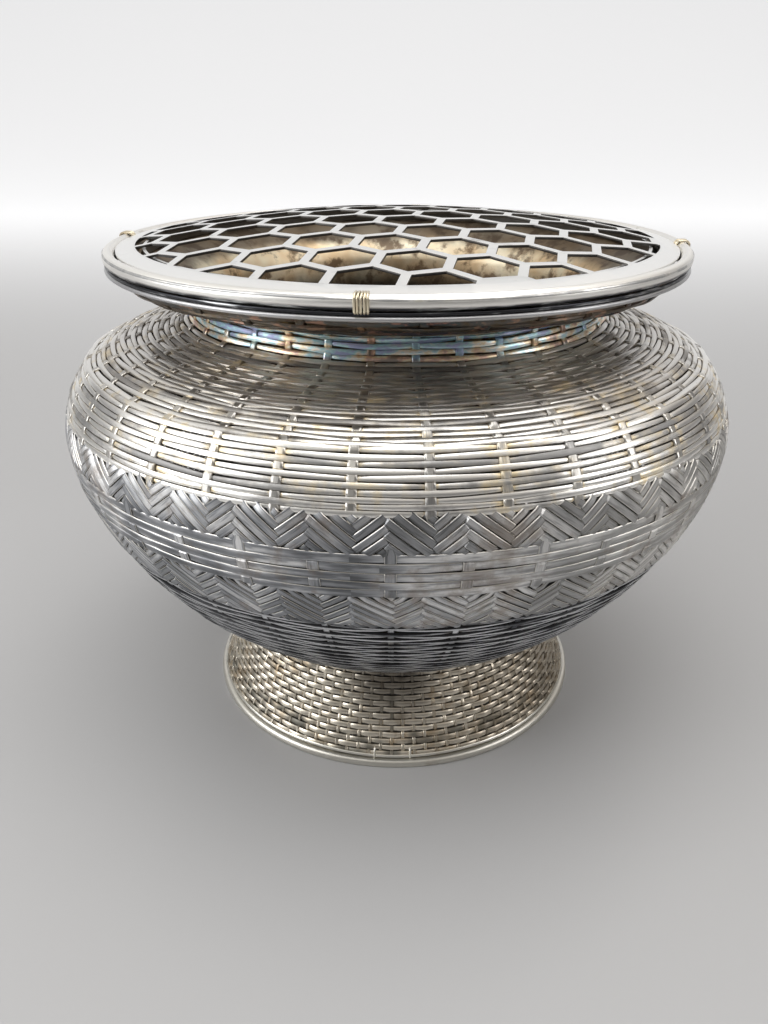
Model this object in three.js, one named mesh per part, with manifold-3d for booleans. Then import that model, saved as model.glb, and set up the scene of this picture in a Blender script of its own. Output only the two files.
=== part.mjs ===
// Woven silver hibachi: a round basket of silver strip on a flared foot, with a liner pot
// inside it and a domed honeycomb lid. Millimetres, +Z up, the foot stands on z = 0.

import * as THREE from 'three';
import { mergeVertices } from 'three/addons/utils/BufferGeometryUtils.js';
import Module from 'manifold-3d';

const wasm = await Module();
wasm.setup();

// The skin, which is the outer face of the weave
const BELLY_RADIUS = 135;
const BELLY_HEIGHT = 127;
const WAIST_RADIUS = 68;
const WAIST_HEIGHT = 42;
const UNDERSIDE_FULLNESS = 1.5;
const SHOULDER_RADIUS = 125.4;
const SHOULDER_HEIGHT = 157;
const THROAT_RADIUS = 83;
const THROAT_HEIGHT = 177;
const WALL = 3;
const NECK_WALL = 2.2;

// Shares of the way up at which the underside's curve is laid
const UNDERSIDE_STATIONS = [0, 0.03, 0.12, 0.3, 0.52, 0.77, 1];

// Shares of the way in and up: the belly's top, the almost flat shoulder, then the flare to the mouth
const BELLY_CURVE = [0.23, 0.57];
const SHOULDER_CURVE = [[0.1, 0.115], [0.274, 0.315], [0.505, 0.46], [0.788, 0.57], [0.953, 0.725]];
const FLARE_CURVE = [[0, 0.12], [0.12, 0.26], [0.36, 0.35], [0.69, 0.49], [0.92, 0.64], [0.99, 0.81]];

// Heights where one weave ends and the next begins
const NECK_START = 172;
const UPPER_HERRINGBONE_TOP = 139.6;
const BELT_TOP = 128.5;
const BELT_BOTTOM = 111.5;
const LOWER_HERRINGBONE_BOTTOM = 96.2;

// The weave
const STAKES_PER_TIE = 9;
const FIRST_STAKE = -90.5;
const ROW_PITCH = 2.15;
const SHADED_ROWS_PER_RIDGE = 3;
const ROW_BULGE = 0.7;
const ROW_DIP = 0.45;
const NECK_INNER_STEPS = 9;
const SHOULDER_INNER_STEPS = 5;
const HERRINGBONE_ROWS = 3;
const BELT_ROWS = 5;
const BAND_INNER_STEPS = 1;
const UNDERSIDE_INNER_STEPS = 4;
const FOOT_ROWS = 5;
const HERRINGBONE_LIFT = 3;

// The mouth rim
const RIM_RADIUS = 114;
const RIM_TOP = 199.1;
const OUTER_HOOP_WIDTH = 4.4;
const OUTER_HOOP_DEPTH = 4.9;
const LOWER_HOOP_WIDTH = 3.2;
const LOWER_HOOP_DEPTH = 2;
const INNER_HOOP_WIDTH = 3.8;
const INNER_HOOP_DEPTH = 3.4;
const INNER_HOOP_DROP = 4.7;
const NECK_CORNER_ROOM = 0.5;
const TIES = 4;
const FIRST_TIE = -95;
const TIE_WIDTH = 4.6;
const TIE_THICKNESS = 0.5;
const TIE_CORNER = 1.8;

// The lid
const LID_PLAY = 1.1;
const LID_THICKNESS = 1.3;
const LID_RISE = 9.5;
const LID_BORDER = 9.6;
const CELL_PITCH = 23;
const CELL_BAR = 3.2;
const LATTICE_TURN = -10.25;
const LATTICE_SHIFT = [-2.9, 4.4];
const SMALLEST_CELL = 0.1;
const LOCATING_RING_THICKNESS = 1.2;
const LOCATING_RING_DEPTH = 5;
const LOCATING_RING_PLAY = 0.8;

// The liner pot
const LINER_WALL = 1.2;
const LINER_PLAY = 0.9;
const LINER_CORNER = 16;
const LINER_FLOOR_INSET = 4.1;
const LINER_CORNER_STEPS = 3;
const LINER_FLARE_CURVE = [[0.1, 0.3], [0.5, 0.7]];
const LINER_WIRE = 3.4;

// The base and the foot
const BASE_THICKNESS = 3;
const COLLAR_DEPTH = 3;
const COLLAR_WIDTH = 11.5;
const FOOT_RADIUS = 84.5;
const FOOT_FLARE = 1.15;
const FOOT_WALL = 2.6;
const FOOT_HOOP_WIDTH = 3.8;
const FOOT_HOOP_DEPTH = 3.4;
const FOOT_HOOP_EDGE = 0.8;
const INNER_FOOT_HOOP = 2.6;

const FIT = 0.3;
const HOOP_SIDES = 8;

// A corner of every round piece falls on each stake, and on each rim tie for the rim hoops
const COARSE_TURN = TIES * STAKES_PER_TIE;
const FINE_TURN = 2 * COARSE_TURN;

// Above the upper herringbone the stakes stand half a step further round
const FIRST_SHOULDER_STAKE = FIRST_STAKE + 180 / COARSE_TURN;

const SILVER = [0xd9d6cf, 0.3];
const BRIGHT_SILVER = [0xe4e3df, 0.24];
const GREY_SILVER = [0x9c9a96, 0.36];
const BROWN_SILVER = [0x7d6a55, 0.38];
const POT_SILVER = [0xb09a78, 0.42];
const WIRE_SILVER = [0xcdbf9c, 0.32];

// Places that follow from the sizes above
const outerHoopRadius = RIM_RADIUS - OUTER_HOOP_WIDTH / 2;
const outerHoopHeight = RIM_TOP - OUTER_HOOP_DEPTH / 2;
const lowerHoopRadius = RIM_RADIUS - FIT - LOWER_HOOP_WIDTH / 2;
const tieBottom = RIM_TOP - OUTER_HOOP_DEPTH - FIT - TIE_THICKNESS;
const lowerHoopTop = tieBottom - FIT;
const tieInnerRadius = RIM_RADIUS - OUTER_HOOP_WIDTH - FIT - TIE_THICKNESS;
const neckTopRadius = tieInnerRadius - FIT - ROW_BULGE;
const neckTop = lowerHoopTop - FIT;
const innerHoopTop = RIM_TOP - INNER_HOOP_DROP;
const innerHoopReach = neckTopRadius - NECK_WALL - FIT - NECK_CORNER_ROOM;
const innerHoopRadius = innerHoopReach - INNER_HOOP_WIDTH / 2;
const lipRadius = innerHoopRadius - INNER_HOOP_WIDTH / 2 - FIT;
const linerWireRadius = lipRadius + FIT + LINER_WIRE / 2;
const linerWireHeight = innerHoopTop + FIT + LINER_WIRE / 2;
const lidRadius = RIM_RADIUS - OUTER_HOOP_WIDTH - LID_PLAY;
const collarTop = WAIST_HEIGHT - FIT;
const baseTop = collarTop + FIT + BASE_THICKNESS;
const linerRadius = THROAT_RADIUS - NECK_WALL - LINER_PLAY;
const linerFloorRadius = WAIST_RADIUS - LINER_FLOOR_INSET;
const linerSeam = baseTop + FIT + LINER_CORNER;
const footTop = collarTop - COLLAR_DEPTH - FIT;

const model = new THREE.Group();

function addPiece(name, geometry, [colour, roughness]) {
  const finish = new THREE.MeshStandardMaterial({ color: colour, roughness, metalness: 1 });
  const piece = new THREE.Mesh(geometry, finish);
  piece.name = name;
  model.add(piece);
}

// A [radius, height] profile, outside going up and inside coming down, turned about Z.
// Its points may be moved in each column of the turn, for zigzags and waves.
function turned(profile, columns = COARSE_TURN, move = null, first = FIRST_STAKE) {
  const points = profile.map(([radius, height]) => new THREE.Vector2(radius, height));
  if (points[0].x > 0) points.push(points[0].clone());
  const geometry = new THREE.LatheGeometry(points, columns);
  const position = geometry.attributes.position;
  for (let i = 0; move && i < position.count; i += 1) {
    const column = Math.floor(i / points.length) % columns;
    const [out, up] = move(column, i % points.length % profile.length);
    const radius = Math.hypot(position.getX(i), position.getZ(i));
    const scale = (radius + out) / radius;
    position.setXYZ(i, position.getX(i) * scale, position.getY(i) + up, position.getZ(i) * scale);
  }
  geometry.rotateX(Math.PI / 2);
  geometry.rotateZ(THREE.MathUtils.degToRad(first + 90));
  return geometry;
}

// A level hoop, given by its middle, its width and its depth
function hoop(radius, height, width, depth, first = FIRST_STAKE) {
  const reach = 0.5 / Math.cos(Math.PI / HOOP_SIDES);
  const profile = [];
  for (let i = 0; i < HOOP_SIDES; i += 1) {
    const angle = (i + 0.5) * 2 * Math.PI / HOOP_SIDES;
    const out = Math.cos(angle) * reach * width;
    profile.push([radius + out, height + Math.sin(angle) * reach * depth]);
  }
  return turned(profile, COARSE_TURN, null, first);
}

function undersidePoint(share) {
  const drop = (1 - share) ** UNDERSIDE_FULLNESS;
  const spread = (1 - drop) ** (1 / UNDERSIDE_FULLNESS);
  const radius = THREE.MathUtils.lerp(WAIST_RADIUS, BELLY_RADIUS, spread);
  return [radius, THREE.MathUtils.lerp(WAIST_HEIGHT, BELLY_HEIGHT, share)];
}

function pointBetween([radius, height], [nextRadius, nextHeight], [share, rise]) {
  return [
    THREE.MathUtils.lerp(radius, nextRadius, share),
    THREE.MathUtils.lerp(height, nextHeight, rise),
  ];
}

// The skin from the waist round the belly, over the shoulder and throat, to the mouth
function skinCurve() {
  const belly = [BELLY_RADIUS, BELLY_HEIGHT];
  const shoulder = [SHOULDER_RADIUS, SHOULDER_HEIGHT];
  const throat = [THROAT_RADIUS, THROAT_HEIGHT];
  const mouth = [neckTopRadius, neckTop];
  const stations = UNDERSIDE_STATIONS.map(undersidePoint);
  stations.push(pointBetween(belly, shoulder, BELLY_CURVE));
  stations.push(shoulder);
  for (const shares of SHOULDER_CURVE) stations.push(pointBetween(shoulder, throat, shares));
  stations.push(throat);
  for (const shares of FLARE_CURVE) stations.push(pointBetween(throat, mouth, shares));
  stations.push(mouth);
  const curve = new THREE.SplineCurve(stations.map(([r, z]) => new THREE.Vector2(r, z)));
  curve.arcLengthDivisions = 800;
  return curve;
}

const skin = skinCurve();

// How far along the skin it reaches a height, from 0 at the waist to 1 at the mouth
function shareAt(height) {
  let low = 0;
  let high = 1;
  while (high - low > 1e-6) {
    const middle = (low + high) / 2;
    if (skin.getPointAt(middle).y < height) low = middle;
    else high = middle;
  }
  return low;
}

// A point of the skin, moved out along its normal
function skinPoint(share, out) {
  const place = skin.getPointAt(share);
  const along = skin.getTangentAt(share);
  return [place.x + along.y * out, place.y - along.x * out];
}

// As many rows as fit between two heights of the skin at this pitch
function rowsBetween(bottom, top, pitch) {
  return Math.round((shareAt(top) - shareAt(bottom)) * skin.getLength() / pitch);
}

// A stretch of the skin as woven rows: a ridge for each row outside and plain inside
function wovenStretch(bottom, top, rows, wall, innerSteps, bulge = ROW_BULGE) {
  const gap = FIT / 2 / skin.getLength();
  const start = bottom > WAIST_HEIGHT ? shareAt(bottom) + gap : 0;
  const end = top < neckTop ? shareAt(top) - gap : 1;
  const at = (part) => THREE.MathUtils.lerp(start, end, part);
  const profile = [];
  for (let row = 0; row < rows; row += 1) {
    profile.push(skinPoint(at(row / rows), 0));
    profile.push(skinPoint(at((row + 0.5) / rows), bulge));
  }
  profile.push(skinPoint(at(1), 0));
  for (let i = innerSteps; i >= 0; i -= 1) profile.push(skinPoint(at(i / innerSteps), -wall));
  return profile;
}

// The rows of a herringbone run in zigzags. With sign 1 they rise at each stake and sink
// between two, and with sign -1 the other way about.
function herringbone(bottom, top, sign) {
  const lastOuter = 2 * HERRINGBONE_ROWS;
  const profile = wovenStretch(bottom, top, HERRINGBONE_ROWS, WALL, BAND_INNER_STEPS);
  return turned(profile, FINE_TURN, (column, i) => {
    if (i === 0 || i >= lastOuter) return [0, 0];
    const fade = Math.min(i, lastOuter - i) / HERRINGBONE_ROWS;
    return [0, (column % 2 ? -sign : sign) * HERRINGBONE_LIFT * Math.min(fade, 1) / 2];
  });
}

// Plain weave: each row runs over one stake and dips under the next
function plainWeave(bottom, top, rows, wall, innerSteps, firstStake) {
  const over = wovenStretch(bottom, top, rows, wall, innerSteps);
  const under = wovenStretch(bottom, top, rows, wall, innerSteps, ROW_BULGE - ROW_DIP);
  return turned(over, COARSE_TURN, (column, i) => {
    const dips = i < 2 * rows && i % 2 === 1 && (column + (i - 1) / 2) % 2 === 0;
    return dips ? [under[i][0] - over[i][0], under[i][1] - over[i][1]] : [0, 0];
  }, firstStake);
}

// Under the flare and under the belly, where the rows lie in shade, one ridge stands for several
function addBasketWeave() {
  const ridgePitch = SHADED_ROWS_PER_RIDGE * ROW_PITCH;
  const neckRidges = rowsBetween(NECK_START, neckTop, ridgePitch);
  const shoulderRows = rowsBetween(UPPER_HERRINGBONE_TOP, NECK_START, ROW_PITCH);
  const undersideRidges = rowsBetween(WAIST_HEIGHT, LOWER_HERRINGBONE_BOTTOM, ridgePitch);
  addPiece('neck_weave', plainWeave(
    NECK_START, neckTop, neckRidges, NECK_WALL, NECK_INNER_STEPS, FIRST_SHOULDER_STAKE,
  ), BROWN_SILVER);
  addPiece('shoulder_weave', plainWeave(
    UPPER_HERRINGBONE_TOP, NECK_START, shoulderRows, WALL, SHOULDER_INNER_STEPS, FIRST_SHOULDER_STAKE,
  ), SILVER);
  const upperBand = herringbone(BELT_TOP, UPPER_HERRINGBONE_TOP, 1);
  const lowerBand = herringbone(LOWER_HERRINGBONE_BOTTOM, BELT_BOTTOM, -1);
  addPiece('upper_herringbone', upperBand, GREY_SILVER);
  addPiece('belt_weave', plainWeave(
    BELT_BOTTOM, BELT_TOP, BELT_ROWS, WALL, BAND_INNER_STEPS, FIRST_STAKE,
  ), GREY_SILVER);
  addPiece('lower_herringbone', lowerBand, GREY_SILVER);
  addPiece('underside_weave', plainWeave(
    WAIST_HEIGHT, LOWER_HERRINGBONE_BOTTOM, undersideRidges, WALL, UNDERSIDE_INNER_STEPS, FIRST_STAKE,
  ), GREY_SILVER);
}

// A closed band of wire turns round the outer hoop
function rimTie(turn) {
  const inner = tieInnerRadius;
  const outer = RIM_RADIUS + FIT + TIE_THICKNESS;
  const top = RIM_TOP + FIT + TIE_THICKNESS;
  const band = roundedBox(new THREE.Shape(), inner, tieBottom, outer, top, TIE_CORNER);
  const wall = TIE_THICKNESS;
  const innerCorner = TIE_CORNER - wall;
  const opening = [inner + wall, tieBottom + wall, outer - wall, top - wall];
  band.holes.push(roundedBox(new THREE.Path(), ...opening, innerCorner));
  const geometry = new THREE.ExtrudeGeometry(band, {
    depth: TIE_WIDTH, bevelEnabled: false, curveSegments: 1,
  });
  geometry.rotateX(Math.PI / 2);
  geometry.translate(0, TIE_WIDTH / 2, 0);
  geometry.rotateZ(THREE.MathUtils.degToRad(turn));
  return geometry;
}

function roundedBox(path, left, bottom, right, top, corner) {
  const quarter = Math.PI / 2;
  path.moveTo(left + corner, bottom);
  path.absarc(right - corner, bottom + corner, corner, -quarter, 0);
  path.absarc(right - corner, top - corner, corner, 0, quarter);
  path.absarc(left + corner, top - corner, corner, quarter, 2 * quarter);
  path.absarc(left + corner, bottom + corner, corner, 2 * quarter, 3 * quarter);
  path.closePath();
  return path;
}

function addRim() {
  const lowerHeight = lowerHoopTop - LOWER_HOOP_DEPTH / 2;
  const innerHeight = innerHoopTop - INNER_HOOP_DEPTH / 2;
  addPiece('rim_outer_hoop', hoop(
    outerHoopRadius, outerHoopHeight, OUTER_HOOP_WIDTH, OUTER_HOOP_DEPTH, FIRST_TIE,
  ), BRIGHT_SILVER);
  addPiece('rim_lower_hoop', hoop(
    lowerHoopRadius, lowerHeight, LOWER_HOOP_WIDTH, LOWER_HOOP_DEPTH, FIRST_TIE,
  ), SILVER);
  addPiece('rim_inner_hoop', hoop(
    innerHoopRadius, innerHeight, INNER_HOOP_WIDTH, INNER_HOOP_DEPTH,
  ), SILVER);
  for (let i = 0; i < TIES; i += 1) {
    addPiece(`rim_tie_${i + 1}`, rimTie(FIRST_TIE + i * 360 / TIES), WIRE_SILVER);
  }
}

// Height of the lid's underside at a distance from the axis
function lidHeight(radius) {
  const contact = linerWireRadius + LINER_WIRE / 4;
  const rise = (distance) => LID_RISE * (1 - (distance / lidRadius) ** 2);
  return linerWireHeight + LINER_WIRE / 2 + FIT - rise(contact) + rise(radius);
}

// Cuts a convex cell with the many-sided opening inside the lid's border
function clippedCell(cell, opening) {
  let kept = cell;
  for (let i = 0; i < opening.length && kept.length; i += 1) {
    const edge = opening[(i + 1) % opening.length].clone().sub(opening[i]);
    const side = (point) => edge.cross(point.clone().sub(opening[i]));
    const next = [];
    kept.forEach((point, k) => {
      const after = kept[(k + 1) % kept.length];
      const here = side(point);
      const there = side(after);
      if (here >= 0) next.push(point);
      if (here * there < 0) next.push(point.clone().lerp(after, here / (here - there)));
    });
    kept = next;
  }
  return kept;
}

function circlePoints(radius, count, middle = new THREE.Vector2(), turn = 0) {
  const points = [];
  for (let i = 0; i < count; i += 1) {
    const angle = turn + i * 2 * Math.PI / count;
    points.push(new THREE.Vector2(Math.cos(angle), Math.sin(angle)).multiplyScalar(radius).add(middle));
  }
  return points;
}

// The honeycomb: every cell that lies inside the border, whole or cut by it
function latticeCells() {
  const turn = THREE.MathUtils.degToRad(LATTICE_TURN);
  const opening = circlePoints(lidRadius - LID_BORDER, FINE_TURN);
  const cornerReach = (CELL_PITCH - CELL_BAR) / Math.sqrt(3);
  const rowStep = CELL_PITCH * Math.sqrt(3) / 2;
  const wholeArea = (CELL_PITCH - CELL_BAR) ** 2 * Math.sqrt(3) / 2;
  const reach = Math.ceil(lidRadius / rowStep) + 1;
  const cells = [];
  for (let row = -reach; row <= reach; row += 1) {
    for (let place = -reach; place <= reach; place += 1) {
      const middle = new THREE.Vector2((place + (row % 2 ? 0.5 : 0)) * CELL_PITCH, row * rowStep);
      middle.rotateAround(new THREE.Vector2(), turn).add(new THREE.Vector2(...LATTICE_SHIFT));
      const whole = circlePoints(cornerReach, 6, middle, turn + Math.PI / 6);
      const cell = clippedCell(whole, opening);
      if (cell.length > 2 && THREE.ShapeUtils.area(cell) > SMALLEST_CELL * wholeArea) cells.push(cell);
    }
  }
  return cells;
}

// The closed geometry as a solid that can be cut
function solidOf(geometry) {
  geometry.deleteAttribute('normal');
  geometry.deleteAttribute('uv');
  const merged = mergeVertices(geometry, 1e-4);
  const corners = merged.index.array;
  const faces = [];
  for (let i = 0; i < corners.length; i += 3) {
    const [a, b, c] = corners.subarray(i, i + 3);
    if (a !== b && b !== c && c !== a) faces.push(a, b, c);
  }
  return new wasm.Manifold(new wasm.Mesh({
    numProp: 3,
    vertProperties: new Float32Array(merged.attributes.position.array),
    triVerts: new Uint32Array(faces),
  }));
}

function geometryOf(solid) {
  const mesh = solid.getMesh();
  const geometry = new THREE.BufferGeometry();
  geometry.setAttribute('position', new THREE.BufferAttribute(mesh.vertProperties, 3));
  geometry.setIndex(new THREE.BufferAttribute(mesh.triVerts, 1));
  return geometry;
}

// The domed sheet with every cell of the honeycomb cut out of it
function lidLattice() {
  const openingRadius = lidRadius - LID_BORDER;
  const rings = [lidRadius, openingRadius, openingRadius / 2, 0];
  const under = rings.map((radius) => [radius, lidHeight(radius)]).reverse();
  const top = rings.map((radius) => [radius, lidHeight(radius) + LID_THICKNESS]);
  let sheet = solidOf(turned([...under, ...top]));
  const depth = LID_RISE + 2 * LID_THICKNESS;
  for (const cell of latticeCells()) {
    const punch = new THREE.ExtrudeGeometry(new THREE.Shape(cell), { depth, bevelEnabled: false });
    punch.translate(0, 0, lidHeight(lidRadius));
    sheet = sheet.subtract(solidOf(punch));
  }
  return geometryOf(sheet);
}

function addLid() {
  const ringOuter = lipRadius - LINER_WALL - LOCATING_RING_PLAY;
  const ringInner = ringOuter - LOCATING_RING_THICKNESS;
  const ringTop = lidHeight(ringOuter) - FIT;
  const ringBottom = ringTop - LOCATING_RING_DEPTH;
  addPiece('lid_lattice', lidLattice(), BRIGHT_SILVER);
  addPiece('lid_locating_ring', turned([
    [ringOuter, ringBottom], [ringOuter, ringTop], [ringInner, ringTop], [ringInner, ringBottom],
  ]), SILVER);
}

// One side of the liner's dished floor, from its middle round the corner to the seam.
// Its flat part stops short of the waist, so the corner stays clear of the weave.
function linerFloorSide(inset) {
  const reach = linerRadius - linerFloorRadius - inset;
  const corner = LINER_CORNER - inset;
  const side = [[0, linerSeam - corner]];
  for (let i = 0; i <= LINER_CORNER_STEPS; i += 1) {
    const angle = i * Math.PI / 2 / LINER_CORNER_STEPS;
    side.push([
      linerFloorRadius + Math.sin(angle) * reach,
      linerSeam - Math.cos(angle) * corner,
    ]);
  }
  return side;
}

// One side of the liner's wall, from the seam up and out to its lip
function linerWallSide(inset) {
  const flareFoot = THROAT_HEIGHT - FIT;
  const flareTop = innerHoopTop - INNER_HOOP_DEPTH / 3;
  const side = [[linerRadius - inset, linerSeam + FIT]];
  side.push([linerRadius - inset, flareFoot + inset / 2]);
  side.push(...LINER_FLARE_CURVE.map((shares) => {
    const [radius, height] = pointBetween([linerRadius, flareFoot], [lipRadius, flareTop], shares);
    return [radius - inset, height + inset / 2];
  }));
  side.push([lipRadius - inset, flareTop + inset / 2]);
  side.push([lipRadius - inset, linerWireHeight]);
  return side;
}

function addLiner() {
  const floor = [...linerFloorSide(0), ...linerFloorSide(LINER_WALL).reverse()];
  const wall = [...linerWallSide(0), ...linerWallSide(LINER_WALL).reverse()];
  addPiece('liner_floor', turned(floor), POT_SILVER);
  addPiece('liner_pot', turned(wall), POT_SILVER);
  addPiece('liner_rim_wire', hoop(linerWireRadius, linerWireHeight, LINER_WIRE, LINER_WIRE), POT_SILVER);
}

// Outer radius of the foot's weave at a height
function footRadius(height) {
  const share = 1 - height / WAIST_HEIGHT;
  const foot = FOOT_RADIUS - ROW_BULGE;
  return THREE.MathUtils.lerp(WAIST_RADIUS, foot, share ** FOOT_FLARE);
}

function footWeave() {
  const bottom = FOOT_HOOP_DEPTH + FIT;
  const at = (part) => THREE.MathUtils.lerp(bottom, footTop, part);
  const profile = [];
  for (let row = 0; row < FOOT_ROWS; row += 1) {
    profile.push([footRadius(at(row / FOOT_ROWS)), at(row / FOOT_ROWS)]);
    const crest = at((row + 0.5) / FOOT_ROWS);
    profile.push([footRadius(crest) + ROW_BULGE, crest]);
  }
  profile.push([footRadius(footTop), footTop]);
  for (const part of [1, 0.5, 0]) profile.push([footRadius(at(part)) - FOOT_WALL, at(part)]);
  return turned(profile);
}

// The hoop that the foot stands on has a flat underside with eased edges
function footHoop() {
  const inner = FOOT_RADIUS - FOOT_HOOP_WIDTH;
  const edge = FOOT_HOOP_EDGE;
  const top = FOOT_HOOP_DEPTH;
  return turned([
    [FOOT_RADIUS - edge, 0], [FOOT_RADIUS, edge], [FOOT_RADIUS, top - edge], [FOOT_RADIUS - edge, top],
    [inner + edge, top], [inner, top - edge], [inner, edge], [inner + edge, 0],
  ]);
}

// A flat ring or, with no inner radius, a disc
function flatRing(inner, outer, bottom, top) {
  return turned([[inner, bottom], [outer, bottom], [outer, top], [inner, top]]);
}

function addFoot() {
  const baseRadius = skinPoint(0, -WALL)[0] - FIT;
  const collarOuter = WAIST_RADIUS + ROW_BULGE;
  const collarInner = collarOuter - COLLAR_WIDTH;
  const innerHoopHeight = FOOT_HOOP_DEPTH + FIT + INNER_FOOT_HOOP / 2;
  const innerHoopReach = footRadius(innerHoopHeight + INNER_FOOT_HOOP / 2) - FOOT_WALL - FIT;
  addPiece('basket_base', flatRing(0, baseRadius, collarTop + FIT, baseTop), GREY_SILVER);
  addPiece('foot_collar', flatRing(collarInner, collarOuter, footTop + FIT, collarTop), SILVER);
  addPiece('foot_weave', footWeave(), WIRE_SILVER);
  addPiece('foot_hoop', footHoop(), BRIGHT_SILVER);
  addPiece('foot_inner_hoop', hoop(
    innerHoopReach - INNER_FOOT_HOOP / 2, innerHoopHeight, INNER_FOOT_HOOP, INNER_FOOT_HOOP,
  ), SILVER);
}

addBasketWeave();
addRim();
addLid();
addLiner();
addFoot();

export default model;
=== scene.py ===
"""Dresses the woven silver hibachi: strips and stakes, rim, pierced lid, liner pot and foot."""

import math

import bpy
import numpy as np
from mathutils import Matrix, Vector


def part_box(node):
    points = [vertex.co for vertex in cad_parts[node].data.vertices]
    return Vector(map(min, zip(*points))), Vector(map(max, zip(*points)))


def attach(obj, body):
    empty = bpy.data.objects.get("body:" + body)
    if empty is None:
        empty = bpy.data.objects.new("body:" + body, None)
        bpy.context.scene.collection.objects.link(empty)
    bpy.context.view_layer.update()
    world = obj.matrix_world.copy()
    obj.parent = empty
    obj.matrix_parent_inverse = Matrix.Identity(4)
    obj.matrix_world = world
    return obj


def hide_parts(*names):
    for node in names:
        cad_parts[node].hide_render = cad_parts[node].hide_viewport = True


bl_info = {
    "name": "Woven Silver Hibachi",
    "version": (1, 0, 0),
    "blender": (4, 5, 0),
    "location": "View3D > Sidebar > Hibachi",
    "description": "Builds the woven walls, rim, lid, liner and foot around the solids",
    "category": "Object",
}

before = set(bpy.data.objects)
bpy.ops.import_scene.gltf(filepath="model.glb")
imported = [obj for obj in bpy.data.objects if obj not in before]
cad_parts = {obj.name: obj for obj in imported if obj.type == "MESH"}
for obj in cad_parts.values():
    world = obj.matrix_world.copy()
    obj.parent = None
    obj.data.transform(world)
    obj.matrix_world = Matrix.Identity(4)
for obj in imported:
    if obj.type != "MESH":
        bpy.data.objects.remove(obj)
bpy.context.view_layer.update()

# Millimetres to metres
MM = 0.001

# The outer face of the basket, as in the solids
WAIST = (68.0, 42.0)
BELLY = (135.0, 127.0)
SHOULDER = (125.4, 157.0)
THROAT = (83.0, 177.0)
MOUTH = (107.8, 192.8)
UNDERSIDE_FULLNESS = 1.5
UNDERSIDE_STATIONS = (0, 0.03, 0.12, 0.3, 0.52, 0.77, 1)
BELLY_CURVE = (0.23, 0.57)
SHOULDER_CURVE = [(0.1, 0.115), (0.274, 0.315), (0.505, 0.46), (0.788, 0.57), (0.953, 0.725)]
FLARE_CURVE = [(0, 0.12), (0.12, 0.26), (0.36, 0.35), (0.69, 0.49), (0.92, 0.64), (0.99, 0.81)]
UPPER_HERRINGBONE_TOP = 139.6
BELT_TOP = 128.5
BELT_BOTTOM = 111.5
LOWER_HERRINGBONE_BOTTOM = 96.2
NECK_START = 172.0

# Stakes, ties and staples, with the angles of the first or of all in degrees
STAKES = 36
BELT_STAKE = -90.5
SHOULDER_STAKE = -85.5
TIES = 4
FIRST_TIE = -95.0
TIE_TURNS = 5
TIE_TURN_STEP = 0.9
STAPLES = (-95.4, -85.2, 84.6, 94.8)

# The rim, the lid, the liner and the foot, as in the solids
FIT = 0.3
OUTER_HOOP_WIDTH = 4.4
LOWER_HOOP_WIDTH = 3.2
INNER_HOOP_WIDTH = 3.8
LATTICE_TURN = -10.25
LATTICE_SHIFT = (-2.9, 4.4)
LOCATING_RING_THICKNESS = 1.2
NECK_WALL = 2.2
LINER_WALL = 1.2
LINER_PLAY = 0.9
LINER_CORNER = 16.0
LINER_CORNER_STEPS = 8
FOOT_RADIUS = 83.8
FOOT_FLARE = 1.15
FOOT_HOOP_DEPTH = 3.4
FOOT_INNER_HOOP = 2.6
COLLAR_WIDTH = 11.5

# How far the liner stands out from its wall, and up from the throat, as it flares
LINER_FLARE = ((0.0, -0.3), (0.7, 1.6), (2.6, 4.8), (6.0, 8.6), (11.0, 11.9), (17.0, 14.6))

# A staple of the foot's edging: how far up the foot, and how far out of it
STAPLE_PATH = ((0.0, 0.2), (0.3, 0.9), (2.2, 0.95), (4.0, 0.9), (4.4, -0.2))

# How deep the middle of a woven strip lies in the skin
LEVEL = -0.9
BELT_LEVEL = -0.15
FOOT_LEVEL = -0.95

# A strip of a herringbone lies this deep where it is crossed, comes out by the swing where it
# crosses, and runs on under the next weave by the reach, where it goes down by the tuck
HERRINGBONE_LEVEL = -0.80
HERRINGBONE_SWING = 0.90
HERRINGBONE_REACH = 1.3
HERRINGBONE_TUCK = 1.1

BELT_PITCH = 3.55
BELT_WANDER = 0.25

# Where a strip gets its points beside a stake, counted in stakes: under it, and over it
WIDE_OFFSETS = (-0.52, -0.30, -0.19, -0.12, -0.05, 0.05, 0.12, 0.19, 0.30, 0.52)
FOOT_OFFSETS = (-0.3, 0.0, 0.3)
OVER_OFFSETS = (-0.14, 0.14)
DIP_REACH = 0.10

# Heights in metres between which one look gives way to the next
# Most of these bound painted shade: the upper shoulder's, the flare's, the pot's deep part and lip, and
# the foot's
UPPER_SHOULDER = (0.160, 0.174)
THROAT_STAKES = (0.1715, 0.1735)
FLARE = (0.1815, 0.1845)
POT_DEPTH = (0.170, 0.187)
POT_LIP = (0.186, 0.191)
FOOT_SHADE = (0.010, 0.034)

# The camera and the floor that sweeps up into a backdrop, in metres and degrees
CAMERA_PLACE = (0, -0.3543, 0.2485)
CAMERA_TILT = 64.14
CAMERA_TURN = 0.81
CAMERA_LENS = 29.88
FLOOR_SIZE = 6.0
BACKDROP_HEIGHT = 2.5
BACKDROP_BEND = 1.2

# Colours that more than one piece has: the pale edge of flat strips, partly wear and partly painted
# highlight; the near black of painted shade in their gaps and crossings; and the foot's dark, painted
# shade at its strips' edges and dips
RUBBED_GLINT = (0.78, 0.75, 0.68)
GAP_SHADE = (0.03, 0.028, 0.025)
FOOT_DARK = (0.06, 0.05, 0.038)


def length(name, description, millimetres):
    """A length that a user may change."""
    return bpy.props.FloatProperty(
        name=name, description=description, default=millimetres * MM, min=0.0,
        unit="LENGTH", subtype="DISTANCE", precision=4,
    )


def colour(name, description, value):
    """A colour that a user may change."""
    return bpy.props.FloatVectorProperty(
        name=name, description=description, default=value, size=3,
        min=0.0, max=1.0, subtype="COLOR",
    )


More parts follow.
